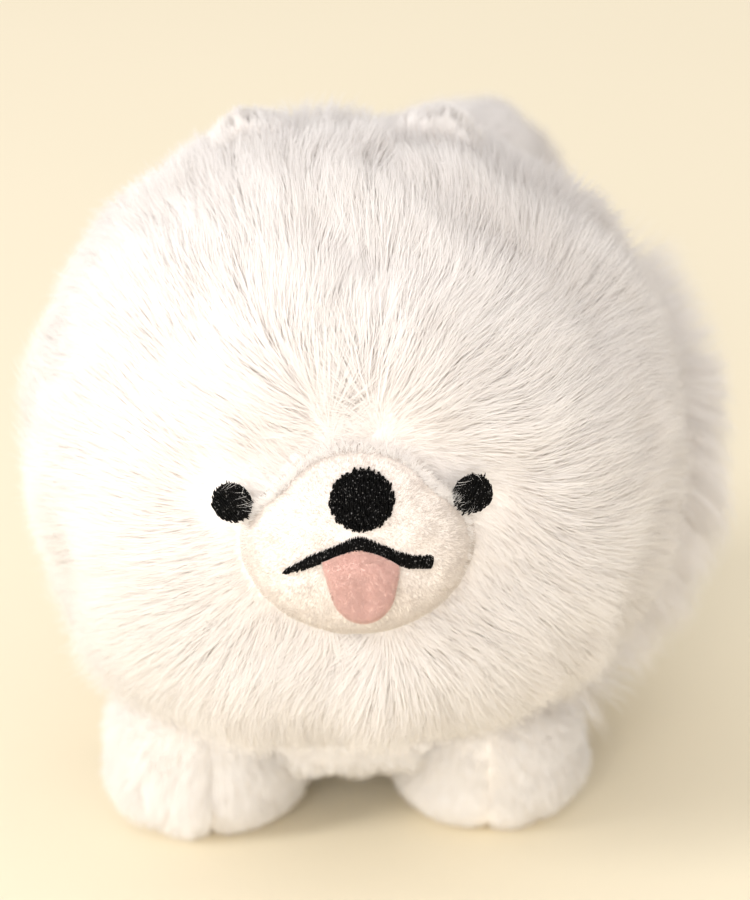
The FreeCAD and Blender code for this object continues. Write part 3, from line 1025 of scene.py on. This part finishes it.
def build_eye_hairs():
    """Loose hairs that fall from the rim of each eye over its stitches."""
    for side, name, first, last, count in ((1, "left", 80, 255, 26), (-1, "right", -20, 110, 22)):
        rng = np.random.default_rng(60 + side)
        centre, radius, outward = eye_disc(side, name)
        turn = np.radians(rng.uniform(first, last, count))
        spoke = np.stack([np.cos(turn), np.zeros(count), np.sin(turn)], 1)
        spoke = unit(flatten(spoke, np.broadcast_to(outward, spoke.shape)))
        reach = radius + rng.uniform(0.0, 0.9, (count, 1)) * MM
        roots = centre + spoke * reach - outward * 0.6 * MM
        normals = np.broadcast_to(outward, roots.shape)
        way = unit(-spoke + Z * 0.45 + X * side * 0.6 + rng.normal(0, 0.45, (count, 3)))
        way = unit(flatten(way, normals))
        lean = (np.full(count, 12.0), rng.normal(84, 3, count))
        line = spines(roots, normals, way, rng.uniform(2.4, 5.0, count) * MM, lean, 6)
        strands = {"line": line, "side": unit(np.cross(way, normals)), "out": normals,
                   "width": rng.uniform(0.06, 0.1, count) * MM, "twist": rng.normal(0, 0.3, count),
                   "shade": rng.uniform(0.6, 1.0, count)}
        fur(f"eye_hairs_{name}", strands, FUR, "head", "long_pile")


# Tongue

TONGUE_SLOPE = math.radians(10)
TONGUE_SHIFT = 1.5 * MM
TONGUE_DROP = 10.0 * MM


def build_tongue():
    """Two layers of pile cloth sewn round the edge, their root under the mouth's stitches."""
    low, high = node_box("tongue_front", "tongue_back")
    half = (high[0] - low[0]) / 2 * 0.98
    pivot = joint_place("tongue_lift")
    middle = TONGUE_SHIFT
    tip = pivot[2] - TONGUE_DROP
    rows, columns = 34, 30

    def depth(x, z):
        """Depth of the tongue's middle: forward below the hinge, on the cloth above it."""
        below = pivot[1] - math.tan(TONGUE_SLOPE) * max(pivot[2] - z, 0)
        rise = smooth(0, 4.0 * MM, z - pivot[2])
        cloth = dome_point(x, z - MUZZLE[2], 0.35 * MM)[0][1]
        return below * (1 - rise) + cloth * rise

    def layer(name, front, thick):
        points = []
        for i in range(rows):
            v = i / (rows - 1)
            for j in range(columns):
                u = 2 * j / (columns - 1) - 1
                x = middle + u * half * (1 - 0.16 * v ** 1.5) + 0.4 * MM * v
                s = (middle + u * half - FACE_SHIFT) / (MOUTH_HALF * 0.97)
                line, wide = mouth_line(np.array(s))
                top = MUZZLE[2] + float(line - wide / 2) + 0.9 * MM
                bottom = tip + half * (1 - math.sqrt(max(1 - u * u, 0)))
                z = top + (bottom - top) * v
                edge = math.sqrt(max(1 - abs(u) ** 3.2, 0)) * math.sqrt(max(1 - v ** 9, 0))
                groove = 0.3 * MM * math.exp(-(u / 0.22) ** 2)
                groove = groove * smooth(0.05, 0.4, v) * smooth(1.0, 0.7, v)
                plump = (thick * edge - groove) * (0.4 + 0.6 * smooth(0.0, 0.45, v))
                points.append((x, depth(x, z) + front * plump, z))
        piece = make_mesh(name, points, grid_faces(rows, columns, False))
        recalculate(piece, pivot - Y * front * 0.05 - Z * 6 * MM)
        return piece

    def comb(places, normals):
        way = (places - pivot) * np.array([1, 0, 1]) - Z * 4 * MM
        return combed(way, normals, 0.3 * waves(places, 3 * MM, 33))

    start, end = tuple(pivot + Z * 3 * MM), tuple(pivot - Z * 2 * MM)
    for name, front, thick, count in (
            ("tongue_front", -1, 1.5 * MM, 13000), ("tongue_back", 1, 0.8 * MM, 2500)):
        skin = layer(f"{name}_cloth", front, thick)
        strands = grow(skin, VELVET, count, 310 + front, comb, lambda p, n: np.full(len(p), 0.75))
        pile = strands_mesh(f"{name}_pile", strands, np.arange(len(strands["line"])))
        for piece, look in ((skin, TONGUE_SKIN), (pile, TONGUE_FUR)):
            piece.data.materials.append(look)
            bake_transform(piece)
            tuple(start)
            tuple(end)
        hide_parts(name)


# Ears

def build_ears():
    for side, name in SIDES:
        pivot = joint_place(f"ear_flop_{name}")
        across = unit(np.array(joint(f"ear_flop_{name}")["axis"], float))
        up = unit(pivot - HEAD)
        forward = unit(np.cross(up, across))
        if forward[1] > 0:
            forward = -forward
        _, high = node_box(f"ear_front_{name}", f"ear_back_{name}")
        tall = (high[2] - pivot[2]) / up[2] * 0.74
        wide = 8.6 * MM
        for layer, facing, look, slot in (
                ("front", 1, LEG_SKIN, "short_pile"), ("back", -1, FUR_SKIN, "long_pile")):
            points = []
            rows, columns = 20, 24
            for i in range(rows):
                v = i / (rows - 1)
                half = wide * (1 - 0.55 * v ** 2.2) * math.sqrt(max(1 - v ** 6, 0.0004))
                for j in range(columns):
                    u = 2 * j / (columns - 1) - 1
                    plump = 1.7 * MM * max(1 - abs(u) ** 3, 0) ** 0.5 * max(1 - v ** 5, 0) ** 0.5
                    cup = -1.2 * MM * (1 - u * u) * smooth(0.1, 0.8, v)
                    rise = v * tall
                    points.append(
                        pivot + across * (u * half) + up * rise + forward * (facing * plump + cup))
            faces = grid_faces(rows, columns, False)
            skin = make_mesh(f"ear_{layer}_cloth_{name}", points, faces)
            recalculate(skin, pivot + up * tall / 2 - forward * (facing * 0.03))
            dress(skin, look, f"ear_{name}", slot, f"ear_{layer}_{name}")
            strands = grow(
                skin, SHAG, 4200, 340 + side * 3 + facing,
                lambda p, n: np.broadcast_to(up, p.shape), lambda p, n: np.full(len(p), 1.15))
            fur(f"ear_{layer}_pile_{name}", strands, FUR, f"ear_{name}", slot)


# Trunk

TRUNK_MIDDLE = np.array([0, 24, 70]) * MM
TRUNK_STRANDS = 90000
BELLY_LOW, BELLY_HIGH = node_box("belly_gusset")
GUSSET_TOP = BELLY_HIGH[2]
# The underside is drawn in at the sides, clear of the trunk's fur
BELLY_DRAW = 0.86


def skin_from_node(name, source, voxel, inflate):
    """Cloth skin round a CAD core: the core remeshed, smoothed and let out along its normals."""
    core = frame["nodes"][source]
    piece = link(name, core.data.copy())
    piece.data.materials.clear()
    remesh = piece.modifiers.new("remesh", "REMESH")
    remesh.mode = "VOXEL"
    remesh.voxel_size = voxel
    soften = piece.modifiers.new("soften", "SMOOTH")
    soften.iterations = 6
    swell = piece.modifiers.new("swell", "DISPLACE")
    swell.strength = inflate
    swell.mid_level = 0
    apply_modifiers(piece)
    round_faces(piece)
    return piece


def apply_modifiers(piece):
    bpy.context.view_layer.update()
    graph = bpy.context.evaluated_depsgraph_get()
    shape = bpy.data.meshes.new_from_object(piece.evaluated_get(graph))
    piece.modifiers.clear()
    piece.data = shape


def cut_below(piece, height):
    """Removes the faces of a piece that lie below a height."""
    def change(work):
        low = [face for face in work.faces if face.calc_center_median().z < height]
        bmesh.ops.delete(work, geom=low, context="FACES")

    edit_mesh(piece, change)


def trunk_comb(points, normals):
    """Away from the head and down over the sides."""
    way = unit(points - HEAD) + np.array([0, 0.25, -0.55])
    part = np.exp(-np.abs(points[:, 0]) / (5 * MM)) * np.sign(points[:, 0]) * 0.6
    way = way + X * part[:, None]
    swirl = 0.28 * waves(points, 50 * MM, 61) + 0.16 * waves(points, 16 * MM, 62)
    return combed(way, normals, swirl)


def trunk_length(points, normals):
    to_head = np.linalg.norm(points - HEAD, axis=1)
    long = 0.9 + 0.1 * smooth(HEAD_R + 1 * MM, HEAD_R + 14 * MM, to_head)
    to_tail = np.linalg.norm(points - TAIL, axis=1)
    long = long * (0.45 + 0.55 * smooth(TAIL_R, TAIL_R + 12 * MM, to_tail))
    long = long * (0.55 + 0.45 * smooth(20 * MM, 40 * MM, points[:, 2]))
    side = points[:, 0] / CORE_HIGH[0]
    long = long * (1 + 0.45 * smooth(0.3, 0.9, side) - 0.38 * smooth(0.3, 0.9, -side))
    return long * (1 + 0.08 * waves(points, 24 * MM, 63))


def trunk_keep(points, normals):
    clear_of_head = np.linalg.norm(points - HEAD, axis=1) > HEAD_R - 3 * MM
    clear_of_tail = np.linalg.norm(points - TAIL, axis=1) > TAIL_R - 3 * MM
    low_and_flat = (points[:, 2] < 24 * MM) & (normals[:, 2] < -0.8)
    seat = (normals * unit(HEAD - points)).sum(1) > 0.85 + 0.05 * waves(points, 1.5 * MM, 64)
    return clear_of_head & clear_of_tail & ~low_and_flat & ~seat


def build_trunk():
    skin = skin_from_node("trunk_backing", "trunk_filling", 2.6 * MM, 2.2 * MM)
    move_points(skin, lambda p: X * (7.0 * MM * smooth(0.25, 1.0, p[:, 0] / CORE_HIGH[0])
                                     * smooth(20 * MM, 45 * MM, p[:, 2]))[:, None])
    move_points(skin, lambda p: -(p - TRUNK_MIDDLE) * np.array([1, 1, 0]) * (
        0.05 * smooth(31 * MM, 21 * MM, p[:, 2]))[:, None])
    cut_below(skin, GUSSET_TOP - 2.5 * MM)
    dress(skin, FUR_SKIN, "trunk", "long_pile", "trunk_cover_left", "trunk_cover_right")
    places = places_of(skin.data)
    sewn = (np.abs(places[:, 0]) < 1.8 * MM) | (places[:, 2] < GUSSET_TOP + 2 * MM) | (
        np.linalg.norm(places - HEAD, axis=1) < HEAD_R + 5 * MM)
    stuff(skin, sewn, 2.2 * MM, 900.0)
    belly = build_belly()
    yield
    grow_belly(belly)
    strands = grow(skin, LONG, TRUNK_STRANDS, 200, trunk_comb, trunk_length, trunk_keep)
    across = strands["line"][:, :, 0]
    wide, soft = TRUNK_HIGH[0] + 6 * MM, 8 * MM
    held = wide + soft * np.tanh((across - wide) / soft)
    strands["line"][:, :, 0] = np.where(across > wide, held, across)
    root = strands["line"][:, 0]
    for side, name in SIDES:
        on_side = root[:, 0] * side > 0
        high = root[:, 2] > 72 * MM
        fur(f"trunk_fur_back_{name}", strands, FUR, "trunk", "long_pile", on_side & high)
        fur(f"trunk_fur_flank_{name}", strands, FUR, "trunk", "long_pile", on_side & ~high)


def build_belly():
    """Short-pile underside: the low part of the trunk between and around the legs."""
    belly = skin_from_node("belly_cloth", "belly_gusset", 1.6 * MM, 0.2 * MM)
    move_points(belly, lambda p: Z * (0.4 * np.maximum(GUSSET_TOP - p[:, 2], 0))[:, None])
    move_points(belly, lambda p: X * ((BELLY_DRAW - 1) * p[:, 0])[:, None])
    dress(belly, LEG_SKIN, "trunk", "short_pile", "belly_gusset")
    return belly


def grow_belly(belly):
    def comb(places, normals):
        way = unit(places - TRUNK_MIDDLE) * np.array([1, 1, 0]) - Z * 1.0
        return combed(way, normals, 0.4 * waves(places, 10 * MM, 71))

    def keep(places, normals):
        outside = (normals * unit(places - TRUNK_MIDDLE)).sum(1) > 0.25
        legs = [joint_place(f"leg_swing_{leg}") for leg in LEGS]
        away = [np.hypot(places[:, 0] - leg[0], places[:, 1] - leg[1]) for leg in legs]
        return outside & (np.min(away, axis=0) > LEG_R - 4 * MM)

    def weight(places):
        along = places[:, 1]
        fringe = (along < BELLY_LOW[1] + 7 * MM) | (along > BELLY_HIGH[1] - 7 * MM) | (
            np.abs(places[:, 0]) > BELLY_HIGH[0] * BELLY_DRAW - 5 * MM)
        covered = places[:, 2] > GUSSET_TOP - 0.6 * MM
        return np.where(covered, 0.02, np.where(fringe, 3.0, 1.6))

    strands = grow(
        belly, PLUSH, 36000, 210, comb, lambda p, n: 1.1 + 0.15 * waves(p, 8 * MM, 72), keep,
        weight=weight)
    fur("belly_pile", strands, LEG_FUR, "trunk", "short_pile")


# Legs

LEG_R = 19.2 * MM
LEG_TOP = 29.5 * MM
SOLE_LIFT = 1.2 * MM
FLOOR_GAP = 0.15 * MM


def leg_profile(v):
    """Radius and height of the leg's cloth, from the sole's rim (v = 0) to the top (v = 1)."""
    sole, rim = 12.5 * MM, 10.5 * MM
    if v < 0.4:
        turn = v / 0.4 * math.pi / 2
        return sole + (LEG_R - sole) * math.sin(turn), SOLE_LIFT + rim * (1 - math.cos(turn))
    w = (v - 0.4) / 0.6
    radius = LEG_R * (1 - 0.05 * w) * math.sqrt(max(1 - w ** 7, 0))
    return radius, SOLE_LIFT + rim + (LEG_TOP - SOLE_LIFT - rim) * w


def part_of(name, piece, chosen):
    """A new piece from the chosen faces of another."""
    faces = [tuple(piece.data.polygons[i].vertices) for i in chosen]
    used = sorted({corner for face in faces for corner in face})
    place = {corner: index for index, corner in enumerate(used)}
    points = places_of(piece.data)[used]
    return make_mesh(name, points, [tuple(place[corner] for corner in face) for face in faces])


def build_leg(leg, index):
    """A stuffed leg: its form swells between its two seams, then falls into its panels."""
    pivot = joint_place(f"leg_swing_{leg}")
    outward = math.copysign(1, pivot[0])
    # The sewn legs are not mirror twins: one pair sits a little inward, the other is fuller
    base = pivot * np.array([1, 1, 0]) - X * (2.2 * MM if outward > 0 else 0.2 * MM)
    full = 1.0 if outward > 0 else 1.3
    rows, columns = 36, 72
    points = []
    for i in range(rows):
        radius, height = leg_profile(0.985 * i / (rows - 1))
        for j in range(columns):
            turn = 2 * math.pi * j / columns
            points.append((radius * math.cos(turn), radius * math.sin(turn), height))
    points = np.array(points)
    points = points + (waves(points + base * 3, 17 * MM, 80 + index) * 0.3 * MM)[:, None] * unit(
        points * np.array([1, 1, 0]) + 1e-9)
    points = np.concatenate([points + base, [base + Z * LEG_TOP]])
    faces = grid_faces(rows, columns, True)
    faces += [(len(points) - 1, (rows - 1) * columns + j, (rows - 1) * columns + (j + 1) % columns)
              for j in range(columns)]
    form = make_mesh(f"leg_form_{leg}", points, faces)
    recalculate(form, base + Z * 12 * MM)
    across = np.abs(points[:, 0] - base[0])
    seam = (across < 0.5 * MM) & (points[:, 2] < LEG_TOP - 1 * MM)
    sewn = seam | (points[:, 2] < 1.6 * MM) | (points[:, 2] > LEG_TOP - 1 * MM)
    stuff(form, sewn, 1.4 * MM)
    yield
    crease = np.exp(-(across / (1.1 * MM)) ** 2)
    pull = unit((points - base) * np.array([1, 1, 0]) + 1e-9)
    move_points(form, lambda p: -pull * (0.7 * MM * crease)[:, None])
    middle = [polygon.center[0] - base[0] for polygon in form.data.polygons]
    for panel, way, pile, count in (
            ("outer", outward, SHAG, 18000), ("inner", -outward, PLUSH, 24000)):
        chosen = [i for i, x in enumerate(middle) if x * way > 0]
        skin = part_of(f"leg_{panel}_cloth_{leg}", form, chosen)
        recalculate(skin, base + Z * 12 * MM)
        dress(skin, LEG_SKIN, f"leg_{leg}", "short_pile", f"leg_{panel}_panel_{leg}")

        def comb(places, normals):
            away = (places - base) * np.array([1, 1, 0])
            part = np.exp(-np.abs(away[:, 0]) / (2.5 * MM)) * way * 0.8
            down = -Z + X * part[:, None] + unit(away) * 0.1
            return combed(down, normals, 0.16 * waves(places, 13 * MM, 90 + index))

        def length(places, normals):
            seam = 1 - 0.35 * np.exp(-np.abs(places[:, 0] - base[0]) / (2.0 * MM))
            low = 0.5 + 0.5 * smooth(2 * MM, 11 * MM, places[:, 2])
            return full * seam * low * (1 + 0.06 * waves(places, 9 * MM, 95 + index))

        strands = grow(
            skin, pile, count, 400 + index * 2 + (way > 0), comb, length,
            lambda p, n: (p[:, 2] < LEG_TOP - 1.0 * MM))
        line = strands["line"]
        line[:, :, 2] = np.maximum(line[:, :, 2], FLOOR_GAP)
        fur(f"leg_{panel}_pile_{leg}", strands, LEG_FUR, f"leg_{leg}", "short_pile")
    bpy.data.objects.remove(form)
    build_sole(leg, base)


def build_sole(leg, base):
    """Round bottom panel, turned up a little at its rim."""
    rings, columns = 10, 48
    points = []
    for i in range(rings):
        share = (i + 1) / rings
        for j in range(columns):
            turn = 2 * math.pi * j / columns
            reach = 12.9 * MM * share
            rise = 0.35 * MM + 0.95 * MM * smooth(0.7, 1.0, share)
            points.append(base + np.array([reach * math.cos(turn), reach * math.sin(turn), rise]))
    points.append(base + Z * 0.35 * MM)
    faces = grid_faces(rings, columns, True)
    faces += [(len(points) - 1, (j + 1) % columns, j) for j in range(columns)]
    sole = make_mesh(f"leg_sole_cloth_{leg}", points, faces)
    recalculate(sole, base + Z * 12 * MM)
    dress(sole, LEG_SKIN, f"leg_{leg}", "short_pile", f"leg_sole_{leg}")


# Tail

def build_tail():
    radius = TAIL_R - 7.5 * MM

    def surface(directions):
        stretch = np.array([1.16, 1.0, 0.95])
        return TAIL + directions * stretch * radius - Z * 1.5 * MM

    up = unit(TAIL - TRUNK_MIDDLE)

    def comb(places, normals):
        curl = np.cross(np.broadcast_to(up, places.shape), normals)
        way = up * 0.9 + curl * (0.6 * smooth(0.9, 0.4, normals @ up))[:, None]
        return combed(way, normals, 0.25 * waves(places, 20 * MM, 73))

    skins = {}
    for side, name in SIDES:
        skin = ball_half(f"tail_backing_{name}", side, surface, 40, 40)
        dress(skin, FUR_SKIN, "tail", "long_pile", f"tail_cover_{name}")
        stuff(skin, np.abs(places_of(skin.data)[:, 0] - TAIL[0]) < 0.6 * MM, 1.0 * MM, 1500.0)
        skins[side, name] = skin
    yield
    for (side, name), skin in skins.items():
        strands = grow(
            skin, LONG, 17000, 500 + side, comb, lambda p, n: 0.92 + 0.06 * waves(p, 15 * MM, 74),
            lean=lambda p, n: -14 * smooth(0.8, 1.0, n @ up))
        fur(f"tail_fur_{name}", strands, FUR, "tail", "long_pile")


# Label and hidden pieces

def build_label():
    """Blank woven tape folded in half, its cut ends caught in the seam."""
    hinge = joint_place("label_flap")
    upright = unit(np.array(joint("label_flap")["axis"], float))
    out = unit(np.cross(X, upright))
    if out[1] < 0:
        out = -out
    tall, reach = 13.0 * MM, 14.0 * MM
    rows, columns = 14, 40
    points = []
    for i in range(rows):
        v = i / (rows - 1) - 0.5
        for j in range(columns):
            s = j / (columns - 1)
            fold = math.cos(math.pi * s)
            side = 0.55 * MM * fold * min(1, (1 - abs(2 * s - 1)) * 3 + 0.35)
            far = reach * (1 - abs(2 * s - 1))
            ripple = 0.25 * MM * math.sin(far / (4.5 * MM) + v * 2)
            place = hinge + upright * (v * tall) + out * (far - 2.0 * MM)
            points.append(place + X * (side + ripple))
    tape = make_mesh("care_label_tape", points, grid_faces(rows, columns, False))
    thick = tape.modifiers.new("thick", "SOLIDIFY")
    thick.thickness = 0.22 * MM
    apply_modifiers(tape)
    round_faces(tape)
    dress(tape, LABEL_TAPE, "label", "label_tape", "care_label")


def build_fillings():
    """Lumps of fibre, a little smaller than their CAD cores: none breaks through a cloth."""
    whole = (
        ("head_filling", "head", 3.0),
        ("trunk_filling", "trunk", 3.0),
        ("tail_filling", "tail", 2.0),
    )
    legs = tuple((f"leg_filling_{leg}", f"leg_{leg}", 1.6) for leg in LEGS)
    for source, body, voxel in whole + legs:
        fibre = skin_from_node(source.replace("filling", "fibre"), source, voxel * MM, -2.0 * MM)
        middle = places_of(fibre.data).mean(0)
        move_points(fibre, lambda p: unit(p - middle) * (waves(p, 11 * MM, 97) * 0.3 * MM)[:, None])
        dress(fibre, STUFFING, body, "stuffing", source)


def finish_neck():
    """The neck's stitches keep their CAD shape."""
    stitches = frame["nodes"]["neck_stitch"].data
    stitches.materials.clear()
    stitches.materials.append(WHITE_THREAD)


# Stage

FLOOR_HALF = 12.0
# Name, place, size, power and colour
LIGHTS = (
    ("key", (-1.8, -0.9, 1.05), 0.8, 29.0, (1.0, 0.98, 0.96)),
    ("front", (-0.4, -2.0, 0.85), 0.9, 20.0, (1.0, 0.975, 0.955)),
    ("low", (0.0, -1.9, 0.2), 0.9, 10.0, (1.0, 0.975, 0.955)),
)
# White fur passes light on many times before it goes dark
MOST_BOUNCES = 24
FUR_BOUNCES = 14


def build_stage():
    made, tree = material("pale_floor")
    grain = noise(tree, object_place(tree), 3.0, 2.0)
    colour = ramp(tree, grain, [(0.2, (0.79, 0.715, 0.545)), (0.8, (0.81, 0.735, 0.565))])
    body = node(tree, "ShaderNodeBsdfPrincipled", {
        "Base Color": colour, "Roughness": 0.85, "Specular IOR Level": 0.1})
    surface_of(tree, body)
    corners = [(-1, -1, 0), (1, -1, 0), (1, 1, 0), (-1, 1, 0)]
    floor = make_mesh("floor", np.array(corners) * FLOOR_HALF, [(0, 1, 2, 3)])
    floor.data.materials.append(made)

    world = bpy.data.worlds.new("studio")
    world.use_nodes = True
    sky = world.node_tree.nodes["Background"]
    sky.inputs["Strength"].default_value = 0.95
    seen = node(world.node_tree, "ShaderNodeLightPath").outputs["Is Camera Ray"]
    tone = mix_colour(world.node_tree, seen, (0.99, 0.957, 0.94), (0.945, 0.845, 0.655))
    world.node_tree.links.new(tone, sky.inputs["Color"])
    bpy.context.scene.world = world
    bpy.context.scene.view_settings.view_transform = "Standard"
    for light in LIGHTS:
        add_light(*light)
    cycles = bpy.context.scene.cycles
    cycles.max_bounces = MOST_BOUNCES
    cycles.diffuse_bounces = cycles.transmission_bounces = FUR_BOUNCES


def add_light(name, place, size, power, colour):
    lamp = bpy.data.lights.new(name, "AREA")
    lamp.shape = "DISK"
    lamp.size = size
    lamp.energy = power
    lamp.color = colour
    holder = bpy.data.objects.new(name, lamp)
    holder.location = place
    holder.rotation_mode = "QUATERNION"
    aim = Vector((0, 0, 0.07)) - Vector(place)
    holder.rotation_quaternion = aim.to_track_quat("-Z", "Y")
    bpy.context.collection.objects.link(holder)


CAMERA_ELEVATION = 20.8
CAMERA_AZIMUTH = -0.8
CAMERA_ROLL = 0.8
CAMERA_DISTANCE = 0.9
CAMERA_AIM = (0.0059, 0, 0.0794)
CAMERA_LENS = 162.6


def build_camera():
    lens = bpy.data.cameras.new("camera")
    lens.lens = CAMERA_LENS
    lens.sensor_width = 36
    holder = bpy.data.objects.new("camera", lens)
    bpy.context.collection.objects.link(holder)
    a, e = math.radians(CAMERA_AZIMUTH), math.radians(CAMERA_ELEVATION)
    back = Vector((math.sin(a) * math.cos(e), -math.cos(a) * math.cos(e), math.sin(e)))
    holder.location = Vector(CAMERA_AIM) + back * CAMERA_DISTANCE
    holder.rotation_mode = "QUATERNION"
    roll = Matrix.Rotation(math.radians(-CAMERA_ROLL), 3, "Z").to_quaternion()
    holder.rotation_quaternion = (-back).to_track_quat("-Z", "Y") @ roll
    focus = bpy.data.objects.new("focus", None)
    focus.location = (0, HEAD[1] - HEAD_R * 0.9, HEAD[2])
    bpy.context.collection.objects.link(focus)
    lens.dof.use_dof = True
    lens.dof.focus_object = focus
    lens.dof.aperture_fstop = 11
    bpy.context.scene.camera = holder


covers = [build_head(), build_muzzle(), build_trunk(), build_tail()]
covers += [build_leg(leg_name, leg_index) for leg_index, leg_name in enumerate(LEGS)]
for cover in covers:
    next(cover)
swell_covers()
for cover in covers:
    next(cover, None)
build_nose()
build_mouth()
build_eyes()
build_eye_hairs()
build_tongue()
build_ears()
build_label()
build_fillings()
finish_neck()
build_stage()
build_camera()
